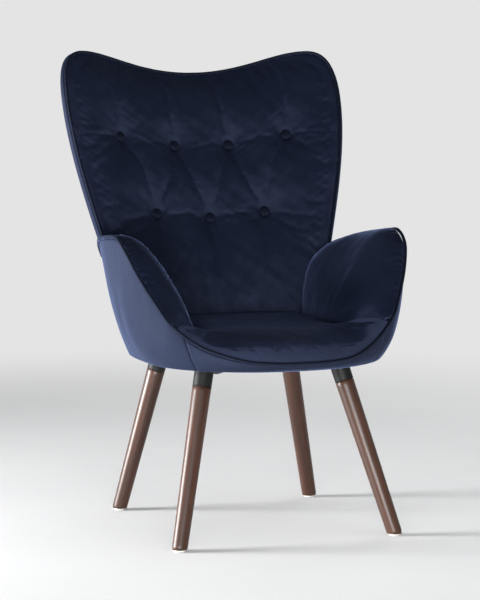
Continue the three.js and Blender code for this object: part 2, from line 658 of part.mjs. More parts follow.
// The foam's foot rests on the board and stays inside the tub's frame.
const foamFoot = BASE + BOARD_FOOT_RISE + BOARD_THICKNESS + GAP;
const foamMiddle = SEAT_MIDDLE.clone().setZ(foamFoot);
const tubStations = [...frontStations, ...padStations];
const foamFootHalf = seatHalf.map((edge, i) => {
  const free = SEAT_MIDDLE.clone().lerp(edge, FOAM_FOOT_SHARE).setZ(foamFoot);
  if (i >= tubStations.length) return free;
  const walled = tubFace(tubStations[i], foamFoot, foamInset);
  return walled.distanceTo(foamMiddle) < free.distanceTo(foamMiddle) ? walled : free;
});
const seatFoam = stack([
  ...SEAT_SHARES.map((share) => seatRing(share, COVER_THICKNESS + GAP)),
  [...foamFootHalf, ...foamFootHalf.slice(1, -1).reverse().map(mirrored)],
  [foamMiddle],
]);
add('seat_cover', cut(seatCover, backSpace), VELVET);
add('seat_foam', cut(seatFoam, backSpace), FOAM);

// Station at which the tub's lower edge reaches a given Y, on the right.
function stationAt(y) {
  let [low, high] = [0, STATIONS];
  for (let i = 0; i < 30; i++) {
    const middle = (low + high) / 2;
    if (lowerAt(middle).y < y) low = middle;
    else high = middle;
  }
  return low;
}
const lowerInset = (s, inset, z) => lowerAt(s).addScaledVector(outwardAt(s), -inset).setZ(z);

// A flat sheet inside the tub's lower edge, cut off straight at the rear.
function sheet(inset, footZ, thickness) {
  const end = stationAt(BOARD_REAR - 4);
  const stations = steps(-end, end, 24);
  const outline = (z) => [...stations.map((s) => lowerInset(s, inset, z)),
    point(0.6 * TUB_BASE_HALF_WIDTH, BOARD_REAR, z),
    point(-0.6 * TUB_BASE_HALF_WIDTH, BOARD_REAR, z)];
  const middle = (z) => [point(0, 0, z)];
  return stack([middle(footZ), outline(footZ), outline(footZ + thickness), middle(footZ + thickness)]);
}

const railFoot = BASE + RAIL_FOOT_RISE;
const railTop = railFoot + RAIL_HEIGHT;
const crossRails = { front: LEGS[0].bolt[1], rear: LEGS[2].bolt[1] };
const plateTop = BASE + DUST_COVER_RISE - GAP;
const plateFoot = plateTop - PLATE_THICKNESS;

const boltPlaces = LEGS.map(({ bolt }) => point(bolt[0], bolt[1], plateFoot - GAP));
const up = point(0, 0, 1);
const boltHoleDepth = railTop - plateFoot - 2;
const boltHoles = boltPlaces.map((place) =>
  standing(rod(FRAME_BOLT_RADIUS + GAP, -1, boltHoleDepth), place, up));

add('seat_board', cut(sheet(BOARD_INSET, BASE + BOARD_FOOT_RISE, BOARD_THICKNESS), backSpace),
  PLY);
add('dust_cover', cut(sheet(RAIL_INSET, BASE + DUST_COVER_RISE, DUST_COVER_THICKNESS),
  ...boltHoles), LINING);

for (const [end, y] of Object.entries(crossRails)) {
  const ys = [y - CROSS_RAIL_WIDTH / 2, y + CROSS_RAIL_WIDTH / 2];
  const inside = RAIL_INSET + RAIL_WIDTH + 3;
  const reach = Math.min(...ys.map((edge) => lowerInset(stationAt(edge), inside, 0).x));
  add(`seat_rail_${end}`, cut(box([-reach, reach], ys, [railFoot, railTop]), ...boltHoles), PLY);
}
const railStations = steps(stationAt(crossRails.front - CROSS_RAIL_WIDTH / 2),
  stationAt(BOARD_REAR - 8), 10);
for (const [side, flip] of [['left', -1], ['right', 1]]) {
  const [outer, inner] = [RAIL_INSET, RAIL_INSET + RAIL_WIDTH].map((inset) =>
    grid(railStations, [railFoot, railTop], (s, z) => {
      const p = lowerInset(s, inset, z);
      return p.setX(flip * p.x);
    }));
  add(`seat_rail_${side}`, wall(outer, inner), PLY);
}

// ---- Underframe and legs ---------------------------------------------------------------

const TRIM = 16; // how much longer a leaning piece is made before it is cut level
const FAR = 2000;
const aboveCut = (z) => box([-FAR, FAR], [-FAR, FAR], [z, z + FAR]);
const belowCut = (z) => box([-FAR, FAR], [-FAR, FAR], [z - FAR, z]);

LEGS.forEach(({ name, top, foot }, i) => {
  const footPoint = point(foot[0], foot[1], 0);
  const topPoint = point(top[0], top[1], plateTop);
  const axis = topPoint.clone().sub(footPoint);
  const length = axis.length();
  axis.normalize();
  const onAxis = (geometry) => standing(geometry, footPoint, axis);

  const tilt = Math.hypot(axis.x, axis.y) / axis.z;
  const tenonTop = length - PLATE_THICKNESS - TENON_RADIUS * tilt - TENON_END;
  const shoulder = length - FERRULE_LENGTH;
  const legRadius = (y) => lerp(LEG_FOOT_RADIUS, LEG_TOP_RADIUS, y / length);
  const leg = turned([
    [0, -TRIM], [legRadius(-TRIM), -TRIM], [legRadius(0.5 * shoulder), 0.5 * shoulder],
    [legRadius(shoulder), shoulder], [TENON_RADIUS, shoulder], [TENON_RADIUS, tenonTop],
    [0, tenonTop],
  ], 14);
  const bore = TENON_RADIUS + GAP;
  const ferrule = turned([
    [bore, shoulder + GAP], [legRadius(shoulder), shoulder + GAP],
    [legRadius(length), length + TRIM], [bore, length + TRIM], [bore, shoulder + GAP],
  ], 14);
  const stud = onAxis(rod(STUD_RADIUS, tenonTop - STUD_DEPTH, length + TRIM));
  const studHole = onAxis(rod(STUD_RADIUS + GAP, tenonTop - STUD_DEPTH - 1, length + TRIM));
  const glideFloor = point(foot[0], foot[1], 0).addScaledVector(axis, GLIDE_THICKNESS / axis.z);
  const glidePlace = point(glideFloor.x, glideFloor.y, 0);
  const pinTop = GLIDE_THICKNESS + GLIDE_PIN_LENGTH;
  const glide = turned([
    [0, 0], [GLIDE_RADIUS - 1, 0], [GLIDE_RADIUS, 1], [GLIDE_RADIUS, GLIDE_THICKNESS],
    [GLIDE_PIN_RADIUS, GLIDE_THICKNESS], [GLIDE_PIN_RADIUS, pinTop], [0, pinTop],
  ], 12);
  const pinHole = standing(rod(GLIDE_PIN_RADIUS + GAP, 0, pinTop + 1, 8), glidePlace, up);

  add(`leg_${name}`, cut(onAxis(leg), belowCut(GLIDE_THICKNESS + GAP), pinHole, studHole), WALNUT);
  add(`leg_glide_${name}`, cut(standing(glide, glidePlace, up)), GLIDE);
  add(`leg_stud_${name}`, cut(stud, aboveCut(plateTop - 0.2)), ZINC);

  const towardsMiddle = -Math.sign(top[0]);
  const xs = [top[0] - towardsMiddle * PLATE_OUTREACH, top[0] + towardsMiddle * PLATE_INREACH];
  const bolt = boltPlaces[i];
  const ys = [Math.min(bolt.y, top[1]) - PLATE_MARGIN, Math.max(bolt.y, top[1]) + PLATE_MARGIN];
  const plate = box(xs.sort((a, b) => a - b), ys, [plateFoot, plateTop]);
  const trimmedFerrule = cut(onAxis(ferrule), aboveCut(plateTop - 1));
  add(`leg_socket_${name}`, cut(join(plate, trimmedFerrule), studHole, ...boltHoles), GUNMETAL);

  const head = FRAME_BOLT_HEAD_RADIUS;
  const shankTop = boltHoleDepth - 2;
  const boltBody = turned([
    [0, -FRAME_BOLT_HEAD_HEIGHT], [head - 1, -FRAME_BOLT_HEAD_HEIGHT],
    [head, 1 - FRAME_BOLT_HEAD_HEIGHT],
    [head, 0], [FRAME_BOLT_RADIUS, 0], [FRAME_BOLT_RADIUS, shankTop], [0, shankTop],
  ], 8);
  add(`frame_bolt_${name}`, cut(standing(boltBody, bolt, up)), ZINC);
});

// Two crossing bars, half-lapped where they meet, from socket to socket.
const barTop = plateFoot - GAP;
const barMiddle = barTop - CROSS_BAR_HEIGHT / 2;

function crossBar(from, to) {
  const [a, b] = [from, to].map(({ top }) => point(top[0], top[1], 0));
  const length = a.distanceTo(b) - 2 * (LEG_TOP_RADIUS + CROSS_BAR_STAND);
  const angle = Math.atan2(b.y - a.y, b.x - a.x);
  const middle = a.add(b).multiplyScalar(0.5);
  return { length, angle, middle };
}

function barBox(bar, width, zs, length = bar.length) {
  return box([-length / 2, length / 2], [-width / 2, width / 2], zs)
    .rotateZ(bar.angle).translate(bar.middle.x, bar.middle.y, 0);
}
const barA = crossBar(LEGS[0], LEGS[3]);
const barB = crossBar(LEGS[1], LEGS[2]);
const barZ = [barTop - CROSS_BAR_HEIGHT, barTop];
const lap = CROSS_BAR_WIDTH + 2 * GAP;
add('cross_bar_a', cut(barBox(barA, CROSS_BAR_WIDTH, barZ),
  barBox(barB, lap, [barZ[0] - 1, barMiddle + GAP / 2])), BLACK_STEEL);
add('cross_bar_b', cut(barBox(barB, CROSS_BAR_WIDTH, barZ),
  barBox(barA, lap, [barMiddle - GAP / 2, barZ[1] + 1])), BLACK_STEEL);

// ---- Origin: the middle of the bounding box, on the floor ------------------------------

const bounds = new THREE.Box3().setFromObject(chair);
const centre = bounds.getCenter(point());
chair.position.set(-centre.x, -centre.y, -bounds.min.z);

export default chair;
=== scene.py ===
"""Button-tufted wing-back armchair: the visual model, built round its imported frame.

Metres, in the frame's own axes: +Z is up, -Y is the front, +X is the right of someone who
faces the chair. Heights are rises above the underside of the upholstery.
"""

import math

import bmesh
import bpy
import numpy as np
from mathutils import Matrix, Vector
from mathutils.kdtree import KDTree


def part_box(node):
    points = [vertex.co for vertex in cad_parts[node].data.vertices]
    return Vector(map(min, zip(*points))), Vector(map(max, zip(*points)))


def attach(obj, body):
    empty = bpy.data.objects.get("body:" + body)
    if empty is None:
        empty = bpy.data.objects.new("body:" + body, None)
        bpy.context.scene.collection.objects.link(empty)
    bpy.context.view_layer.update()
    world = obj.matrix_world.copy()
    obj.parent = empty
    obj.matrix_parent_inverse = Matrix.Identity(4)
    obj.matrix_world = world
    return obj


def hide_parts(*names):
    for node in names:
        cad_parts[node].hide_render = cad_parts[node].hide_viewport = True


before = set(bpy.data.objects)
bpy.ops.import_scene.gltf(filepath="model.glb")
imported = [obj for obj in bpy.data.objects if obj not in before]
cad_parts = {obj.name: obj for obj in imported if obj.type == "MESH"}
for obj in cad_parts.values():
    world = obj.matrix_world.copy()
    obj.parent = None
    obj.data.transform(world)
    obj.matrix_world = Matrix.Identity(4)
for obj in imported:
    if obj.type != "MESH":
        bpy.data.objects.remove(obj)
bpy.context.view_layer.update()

MM = 0.001


def middle(node):
    low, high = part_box(node)
    return (low + high) / 2


# ---- The chair's sizes, as its frame has them -------------------------------------------

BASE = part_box("front_cover")[0].z
FEET_Y = (middle("leg_glide_front_left").y + middle("leg_glide_rear_left").y) / 2

BACK_RISE = 673 * MM
TOP_DIP = 51 * MM
BACK_FOOT_RISE = 13 * MM
ARM_RISE = 273 * MM
ARM_REAR_RISE = 211 * MM
FRONT_RISE = 22 * MM
SEAT_RISE = 73 * MM
SEAT_CROWN = 5 * MM

WING_HALF_WIDTH = 334 * MM
BACK_FOOT_HALF_WIDTH = 222 * MM
TUB_HALF_WIDTH = 333 * MM
TUB_BASE_HALF_WIDTH = 261 * MM
SEAT_HALF_WIDTH = 165 * MM
RIM_FRONT = FEET_Y - 335 * MM
TUB_BASE_FRONT = FEET_Y - 296 * MM
BACK_FACE = FEET_Y + 207.5 * MM
RECLINE = 0.394
BACK_CURVATURE = 0.88

BACK_CROWN = 22 * MM
PAD_REAR = 15.6 * MM
OUTER_COVER_REAR = 33 * MM
OUTER_COVER_THICKNESS = 2 * MM
EDGE_TAPER = 13 * MM

WELT_RADIUS = 3.5 * MM
WELT_DEPTH = 2 * MM
WELT_GROOVE = 0.6 * MM
BACK_WELT_START_RISE = 180 * MM

BUTTON_RADIUS = 11.5 * MM
BUTTON_SINK = 9 * MM

TUB_BULGE = 29 * MM
COVER_LAP = 12 * MM


# ---- Curves and surfaces ----------------------------------------------------------------


def smoothstep(x, low, high):
    t = np.clip((np.asarray(x, float) - low) / (high - low), 0, 1)
    return t * t * (3 - 2 * t)


def lerp(a, b, share):
    return a + (b - a) * share


def unit(vectors):
    return vectors / np.linalg.norm(vectors, axis=-1, keepdims=True)


def bezier(points, t):
    """Points of a cubic curve, and its direction there."""
    a, b, c, d = (np.asarray(p, float) for p in points)
    t = np.asarray(t, float)[..., None]
    u = 1 - t
    place = u**3 * a + 3 * u * u * t * b + 3 * u * t * t * c + t**3 * d
    slope = 3 * (u * u * (b - a) + 2 * u * t * (c - b) + t * t * (d - c))
    return place, slope


def through(points, t):
    """A smooth open curve through the points, at shares t of the way along their numbers."""
    points = np.asarray(points, float)
    padded = np.concatenate([[2 * points[0] - points[1]], points, [2 * points[-1] - points[-2]]])
    place = np.clip(np.asarray(t, float), 0, 1) * (len(points) - 1)
    first = np.minimum(place.astype(int), len(points) - 2)
    w = (place - first)[..., None]
    before, a, b, after = (padded[first + k] for k in range(4))
    slope_a, slope_b = (b - before) / 2, (after - a) / 2
    return (
        (2 * a - 2 * b + slope_a + slope_b) * w**3
        + (-3 * a + 3 * b - 2 * slope_a - slope_b) * w**2
        + slope_a * w
        + a
    )


def resampled(line, count, closed=False):
    """The same line with its points evenly spaced."""
    line = np.asarray(line, float)
    if closed:
        line = np.concatenate([line, line[:1]])
    along = np.concatenate([[0], np.cumsum(np.linalg.norm(np.diff(line, axis=0), axis=1))])
    at = np.linspace(0, along[-1], count + 1 if closed else count)
    even = np.stack([np.interp(at, along, line[:, k]) for k in range(line.shape[1])], axis=1)
    return even[:-1] if closed else even


# ---- The back: edge line, face and depth -------------------------------------------------

SIDE_TOP = BASE + BACK_RISE - 100 * MM
TOP = BASE + BACK_RISE
WING_TIP = 0.83 * WING_HALF_WIDTH
BACK_MIDDLE = np.array([0, BASE + 0.52 * BACK_RISE])

SIDE_LINE = [
    (BACK_FOOT_HALF_WIDTH, BASE + BACK_FOOT_RISE),
    (lerp(BACK_FOOT_HALF_WIDTH, WING_HALF_WIDTH, 0.27), lerp(BASE, SIDE_TOP, 0.33)),
    (WING_HALF_WIDTH, lerp(BASE, SIDE_TOP, 0.695)),
    (WING_HALF_WIDTH, SIDE_TOP),
]
CORNER_LINE = [
    (WING_HALF_WIDTH, SIDE_TOP),
    (WING_HALF_WIDTH, TOP - 32 * MM),
    (0.95 * WING_HALF_WIDTH, TOP),
    (WING_TIP, TOP),
]
TOP_LINE = [
    (WING_TIP, TOP),
    (0.614 * WING_HALF_WIDTH, TOP),
    (0.39 * WING_HALF_WIDTH, TOP - TOP_DIP),
    (0, TOP - TOP_DIP),
]


def half_edge():
    """Right half of the back's edge line, foot to the middle of the top, in X and Z."""
    parts = [bezier(line, np.linspace(0, 1, 60))[0] for line in (SIDE_LINE, CORNER_LINE, TOP_LINE)]
    return resampled(np.concatenate(parts), 230)


HALF_EDGE = half_edge()
MIRRORED_EDGE = HALF_EDGE[::-1][1:] * (-1, 1)
FOOT_X = np.linspace(-BACK_FOOT_HALF_WIDTH, BACK_FOOT_HALF_WIDTH, 92)[1:-1]
FOOT_EDGE = np.column_stack([FOOT_X, np.full(len(FOOT_X), BASE + BACK_FOOT_RISE)])
BACK_EDGE = np.concatenate([HALF_EDGE, MIRRORED_EDGE, FOOT_EDGE])


def edge_normals(edge):
    along = np.roll(edge, -1, axis=0) - np.roll(edge, 1, axis=0)
    return unit(np.stack([along[:, 1], -along[:, 0]], axis=1))


BACK_EDGE_NORMALS = edge_normals(BACK_EDGE)


def back_y(x, z):
    return BACK_FACE + RECLINE * (z - BASE - SEAT_RISE) - BACK_CURVATURE * x * x


def back_normal(x):
    """Straight into the back from its face."""
    x = np.asarray(x, float)
    return unit(np.stack([2 * BACK_CURVATURE * x, np.ones_like(x), np.full_like(x, -RECLINE)], -1))


def back_point(x, z, depth):
    face = np.stack([x, back_y(x, z), z], axis=-1)
    return face + back_normal(x) * np.asarray(depth, float)[..., None]


def on_back(points):
    """X, Z and depth of places near the back, the inverse of back_point."""
    x, z = points[:, 0].copy(), points[:, 2].copy()
    depth = np.zeros(len(points))
    for _ in range(5):
        normal = back_normal(x)
        depth = (points[:, 1] - back_y(x, z)) / normal[:, 1]
        x = points[:, 0] - normal[:, 0] * depth
        z = points[:, 2] - normal[:, 2] * depth
    return x, z, depth


def back_share(x, z):
    """How far out a place on the back is: 0 in its middle, 1 on the edge line."""
    rays = BACK_EDGE - BACK_MIDDLE
    angles = np.arctan2(rays[:, 1], rays[:, 0])
    order = np.argsort(angles)
    reach = np.linalg.norm(rays, axis=1)
    dx, dz = x - BACK_MIDDLE[0], z - BACK_MIDDLE[1]
    edge = np.interp(np.arctan2(dz, dx), angles[order], reach[order], period=2 * math.pi)
    return np.hypot(dx, dz) / edge


def pad_depth(share):
    return -BACK_CROWN * (1 - share**4)


def layer_depth(nominal, share):
    return nominal - EDGE_TAPER * share**3


def back_ring(share, inset, depth):
    """A closed ring of the back. The inset comes in towards the edge."""
    if share == 0:
        return back_point(BACK_MIDDLE[:1], BACK_MIDDLE[1:], np.array([depth]))
    out = BACK_MIDDLE + (BACK_EDGE - BACK_MIDDLE) * share - BACK_EDGE_NORMALS * inset * share**6
    return back_point(out[:, 0], out[:, 1], np.full(len(out), depth))


# ---- The tub: rim, lower edge and the wall between --------------------------------------

# Stations from the middle of the front round to the back, as in the frame: X as a share of
# the half width, Y from front to back, and the rim's rise from the front's to the arm's.
RIM_SHARES = [
    (0, 0, 0), (0.21, 0.018, 0.004), (0.39, 0.068, 0.028), (0.595, 0.166, 0.124),
    (0.754, 0.232, 0.295), (0.826, 0.274, 0.45), (0.91, 0.338, 0.673), (0.967, 0.408, 0.888),
    (0.985, 0.499, 1), (1, 0.612, 0.992), (0.988, 0.726, 0.96), (0.946, 0.832, 0.912),
    (0.895, 0.927, 0.841),
]
LOWER_SHARES = [
    (0, 0), (0.24, 0.011), (0.46, 0.05), (0.665, 0.122), (0.825, 0.21), (0.925, 0.305),
    (0.975, 0.41), (0.995, 0.515), (1, 0.605), (1, 0.693), (0.992, 0.781), (0.972, 0.864),
    (0.93, 0.939),
]
# Where the arm pad meets the seat, from the arm's tip to the back: X as a share of the
# seat's half width, Y from the tip to the back, and the rise above the seat's edge.
FOOT_LINE = [
    (1.3, 0.105, 22 * MM), (1.11, 0.17, 12 * MM), (1.03, 0.27, 3 * MM), (1, 0.37, 0),
    (1, 0.47, 0), (1.02, 0.59, 0), (1.05, 0.72, 0), (1.09, 0.86, 0), (1.14, 1, 0),
]
STATIONS = len(RIM_SHARES)
SEAM = 3.55
ARM_TIP = 4
ARM_SQUARES_UP = (8.5, 12.5)
UNDER_WELT = WELT_RADIUS + WELT_GROOVE


def beside_back(z, stand):
    """A point beside the back's edge band, at a height."""
    edge_z = z + RECLINE * COVER_LAP
    side, _ = bezier(SIDE_LINE, np.linspace(0, 1, 400))
    x = np.interp(edge_z, side[:, 1], side[:, 0])
    p = back_point(np.array([x]), np.array([edge_z]), np.array([COVER_LAP]))[0]
    return np.array([p[0] + stand, p[1], z])


RIM_REAR = beside_back(BASE + ARM_REAR_RISE, 6 * MM)
LOWER_REAR = beside_back(BASE + 8 * MM, 5 * MM)
LOWER_REAR[2] = BASE


def round_tub(half):
    half = np.array(half)
    return np.concatenate([half[:0:-1] * (-1, 1, 1), half])


RIM_POINTS = round_tub(
    [
        (x * TUB_HALF_WIDTH, lerp(RIM_FRONT, RIM_REAR[1], y), BASE + lerp(FRONT_RISE, ARM_RISE, up))
        for x, y, up in RIM_SHARES
    ]
    + [RIM_REAR]
)
LOWER_POINTS = round_tub(
    [
        (x * TUB_BASE_HALF_WIDTH, lerp(TUB_BASE_FRONT, LOWER_REAR[1], y), BASE)
        for x, y in LOWER_SHARES
    ]
    + [LOWER_REAR]
)


def rim_at(s):
    return through(RIM_POINTS, (np.asarray(s, float) / STATIONS + 1) / 2)


def lower_at(s):
    return through(LOWER_POINTS, (np.asarray(s, float) / STATIONS + 1) / 2)


def outward_at(s):
    after, before = np.minimum(s + 0.2, STATIONS), np.maximum(s - 0.2, -STATIONS)
    along = rim_at(after) + lower_at(after) - rim_at(before) - lower_at(before)
    return unit(np.stack([along[..., 1], -along[..., 0], np.zeros_like(along[..., 0])], axis=-1))


def tub_face(s, z, inset):
    """The tub's outer face at stations s and heights z."""
    top, low = rim_at(s), lower_at(s)
    tall = top[..., 2] - low[..., 2]
    down = (top[..., 2] - z) / tall
    rear = 1 - 0.9 * smoothstep(np.abs(s), 0.45 * STATIONS, STATIONS)
    fullness = np.clip(tall / ARM_RISE, 0.25, 1) * rear
    swell = TUB_BULGE * fullness * 4 * down * (1 - down) * (0.55 + 0.9 * down)
    return lerp(top, low, down[..., None]) + outward_at(s) * (swell - inset)[..., None]


FOOT_FROM = rim_at(ARM_TIP)
FOOT_TO_Y = back_y(SEAT_HALF_WIDTH, BASE + SEAT_RISE)
FOOT_POINTS = [FOOT_FROM] + [
    (x * SEAT_HALF_WIDTH, lerp(FOOT_FROM[1], FOOT_TO_Y, y), BASE + SEAT_RISE + rise)
    for x, y, rise in FOOT_LINE
]


def foot_at(s):
    return through(FOOT_POINTS, (np.asarray(s, float) - ARM_TIP) / (STATIONS - ARM_TIP))


def arm_face(s, v, inset, under=UNDER_WELT):
    """The right arm pad's face, from the rim (v = 0) over its crown to the seat (v = 1)."""
    rim, foot = rim_at(s), foot_at(s)
    inward = (foot - rim) * (1, 1, 0)
    reach = np.linalg.norm(inward, axis=-1)
    inward = unit(inward)
    drop = rim[..., 2] - foot[..., 2]
    squareness = smoothstep(s, *ARM_SQUARES_UP)
    corners = [
        np.stack([np.full_like(reach, under), np.full_like(reach, 1 * MM)], -1),
        np.stack([lerp(0.25, 0.5, squareness) * reach + 2 * MM,
                  lerp(0.08, 0.05, squareness) * drop + 2 * MM], -1),
        np.stack([lerp(0.73, 0.86, squareness) * reach,
                  lerp(-0.29, -0.12, squareness) * drop], -1),
        np.stack([reach, -drop], -1),
    ]
    place, slope = bezier(corners, v)
    slope = unit(slope)
    across = place[..., 0] + slope[..., 1] * inset
    up = place[..., 1] - slope[..., 0] * inset
    return rim + inward * across[..., None] + np.stack([0 * up, 0 * up, up], -1)


# ---- Meshes -----------------------------------------------------------------------------

TUBE_SIDES = 14
WAVES = 9
WAVES_HEIGHT = 4.2


def in_scene(name, data):
    """A new object in the scene."""
    thing = bpy.data.objects.new(name, data)
    bpy.context.scene.collection.objects.link(thing)
    return thing


def shade_smooth(mesh):
    mesh.polygons.foreach_set("use_smooth", [True] * len(mesh.polygons))


def mesh_piece(name, vertices, faces, material):
    mesh = bpy.data.meshes.new(name)
    mesh.from_pydata([tuple(v) for v in np.asarray(vertices, float)], [], faces)
    mesh.validate()
    piece = in_scene(name, mesh)
    mesh.materials.append(material)
    face_out(piece)
    shade_smooth(mesh)
    return piece


def face_out(piece):
    """Turns a closed mesh's faces to point outwards."""
    work = bmesh.new()
    work.from_mesh(piece.data)
    bmesh.ops.recalc_face_normals(work, faces=work.faces)
    if work.calc_volume(signed=True) < 0:
        bmesh.ops.reverse_faces(work, faces=work.faces)
    work.to_mesh(piece.data)
    work.free()


def stack(name, rings, material):
    """Joins a stack of rings into one closed body. A ring of one point closes its end."""
    faces, starts, count = [], [], 0
    for ring in rings:
        starts.append(count)
        count += len(ring)
    for i in range(len(rings) - 1):
        low, high = len(rings[i]), len(rings[i + 1])
        sides = max(low, high)
        for j in range(sides):
            k = (j + 1) % sides
            a, b = starts[i] + j % low, starts[i] + k % low
            d, c = starts[i + 1] + j % high, starts[i + 1] + k % high
            faces.append([v for v, keep in ((a, 1), (b, low > 1), (c, high > 1), (d, 1)) if keep])
    return mesh_piece(name, np.concatenate(rings), faces, material)


def sheet_faces(rows, columns, start, flip):
    """Quads of a grid whose vertices run along its columns."""
    faces = []
    for i in range(rows - 1):
        for j in range(columns - 1):
            a = start + i * columns + j
            b = a + columns
            faces.append((a, a + 1, b + 1, b) if flip else (a, b, b + 1, a + 1))
    return faces


def wall(name, outer, inner, material):
    """A closed wall between two grids of points, each rows by columns by 3."""
    rows, columns = outer.shape[:2]
    size = rows * columns
    faces = sheet_faces(rows, columns, 0, False) + sheet_faces(rows, columns, size, True)
    rim = [i * columns for i in range(rows)]
    rim += [(rows - 1) * columns + j for j in range(1, columns)]
    rim += [i * columns + columns - 1 for i in range(rows - 2, -1, -1)]
    rim += list(range(columns - 2, 0, -1))
    for a, b in zip(rim, rim[1:] + rim[:1]):
        faces.append((b, a, a + size, b + size))
    points = np.concatenate([outer.reshape(-1, 3), inner.reshape(-1, 3)])
    return mesh_piece(name, points, faces, material)


def lathe_rings(profile, segments, ripple=None):
    """Rings round +Z from (radius, height) pairs. ripple(angle, radius, height) adds to both."""
    angles = np.linspace(0, 2 * math.pi, segments, endpoint=False)
    rings = []
    for radius, height in profile:
        if radius == 0:
            rings.append(np.array([[0, 0, height]]))
            continue
        wide, tall = (0, 0) if ripple is None else ripple(angles, radius, height)
        r = radius + wide + 0 * angles
        rings.append(np.stack([r * np.cos(angles), r * np.sin(angles), height + tall + 0 * r], 1))
    return rings


def standing(origin, direction):
    """The matrix that stands +Z on a direction at a point."""
    turn = Vector(direction).to_track_quat("Z", "X").to_matrix().to_4x4()
    return Matrix.Translation(Vector(origin)) @ turn


def tube(name, line, radius, material):
    """A closed round tube along an open line, with domed ends."""
    along = unit(np.gradient(line, axis=0))
    angles = np.linspace(0, 2 * math.pi, TUBE_SIDES, endpoint=False)[:, None]
    normal = unit(np.cross(along[0], (0.3, 0.2, 1)))
    spokes = []
    for direction in along:
        normal = unit(normal - direction * (normal @ direction))
        spokes.append(np.cos(angles) * normal + np.sin(angles) * np.cross(direction, normal))
    domes = []
    for end, way in ((0, -1), (-1, 1)):
        out = way * along[end]
        domes.append((line[end] + out * 0.62 * radius + 0.72 * radius * spokes[end],
                      (line[end] + out * radius)[None]))
    (start_ring, start_tip), (end_ring, end_tip) = domes
    body = [point + radius * spoke for point, spoke in zip(line, spokes)]
    return stack(name, [start_tip, start_ring, *body, end_ring, end_tip], material)


def points_of(piece):
    points = np.zeros(len(piece.data.vertices) * 3, np.float32)
    piece.data.vertices.foreach_get("co", points)
    return points.reshape(-1, 3).astype(float)


def set_points(piece, points):
    piece.data.vertices.foreach_set("co", points.astype(np.float32).ravel())
    piece.data.update()


def apply_modifiers(piece):
    shown = piece.evaluated_get(bpy.context.evaluated_depsgraph_get())
    mesh = bpy.data.meshes.new_from_object(shown)
    old = piece.data
    piece.modifiers.clear()
    piece.data = mesh
    bpy.data.meshes.remove(old)
    shade_smooth(mesh)


def waves(points, scale, seed):
    """A smooth pseudo-random field from about -1 to 1: a sum of waves in random directions.
    scale is the waves' rate in radians per metre."""
    rng = np.random.default_rng(seed)
    total = np.zeros(len(points))
    for _ in range(WAVES):
        direction = unit(rng.normal(size=3)) * scale * rng.uniform(0.6, 1.5)
        total += np.sin(points @ direction + rng.uniform(0, 2 * math.pi))
    return total / WAVES_HEIGHT


def kd_tree(points):
    tree = KDTree(len(points))
    for i, place in enumerate(points):
        tree.insert(place, i)
    tree.balance()
    return tree


# ---- Cloth ------------------------------------------------------------------------------

CLOTH_FRAMES = 20
CLOTH_PRESSURE = 4.0
NEIGHBOURS = 6
SIM_THICKNESS = 26 * MM


def cloth_shift(points, sim, held, cap, voxel, slack):
    """How far simulated cloth moves the given points.

    sim is a closed body of the pad's shape. It is remeshed, given slack and blown up while
    held(points) pins it, and then removed. cap is the furthest that a point may go, voxel the
    size of the remeshed faces and slack the share by which the cloth is let out.
    """
    remesh = sim.modifiers.new("remesh", "REMESH")
    remesh.mode = "VOXEL"
    remesh.voxel_size = voxel
    apply_modifiers(sim)
    start = points_of(sim)
    pins = sim.vertex_groups.new(name="held")
    weights = np.clip(held(start), 0, 1)
    for i in np.nonzero(weights > 0.01)[0]:
        pins.add([int(i)], float(weights[i]), "REPLACE")
    cloth = sim.modifiers.new("cloth", "CLOTH")
    settings = cloth.settings
    settings.quality = 5
    settings.mass = 0.3
    settings.tension_stiffness = settings.compression_stiffness = 15
    settings.shear_stiffness = 5
    settings.bending_stiffness = 0.4
    settings.shrink_min = -slack
    settings.use_pressure = True
    settings.uniform_pressure_force = CLOTH_PRESSURE
    settings.vertex_group_mass = "held"
    settings.effector_weights.gravity = 0
    cloth.collision_settings.use_collision = False
    cloth.point_cache.frame_start = 1
    cloth.point_cache.frame_end = CLOTH_FRAMES
    for number in range(1, CLOTH_FRAMES + 1):
        bpy.context.scene.frame_set(number)
    apply_modifiers(sim)
    bpy.context.scene.frame_set(1)
    moved = points_of(sim) - start
    bpy.data.objects.remove(sim)
    length = np.linalg.norm(moved, axis=1, keepdims=True)
    moved *= cap * np.tanh(length / cap) / np.maximum(length, 1e-9)
    tree = kd_tree(start)
    shift = np.zeros_like(points)
    for i, place in enumerate(points):
        near = tree.find_n(place, NEIGHBOURS)
        weight = np.array([math.exp(-((n[2] / voxel) ** 2)) + 1e-6 for n in near])
        shift[i] = weight @ moved[[n[1] for n in near]] / weight.sum()
    return shift


# ---- Materials --------------------------------------------------------------------------


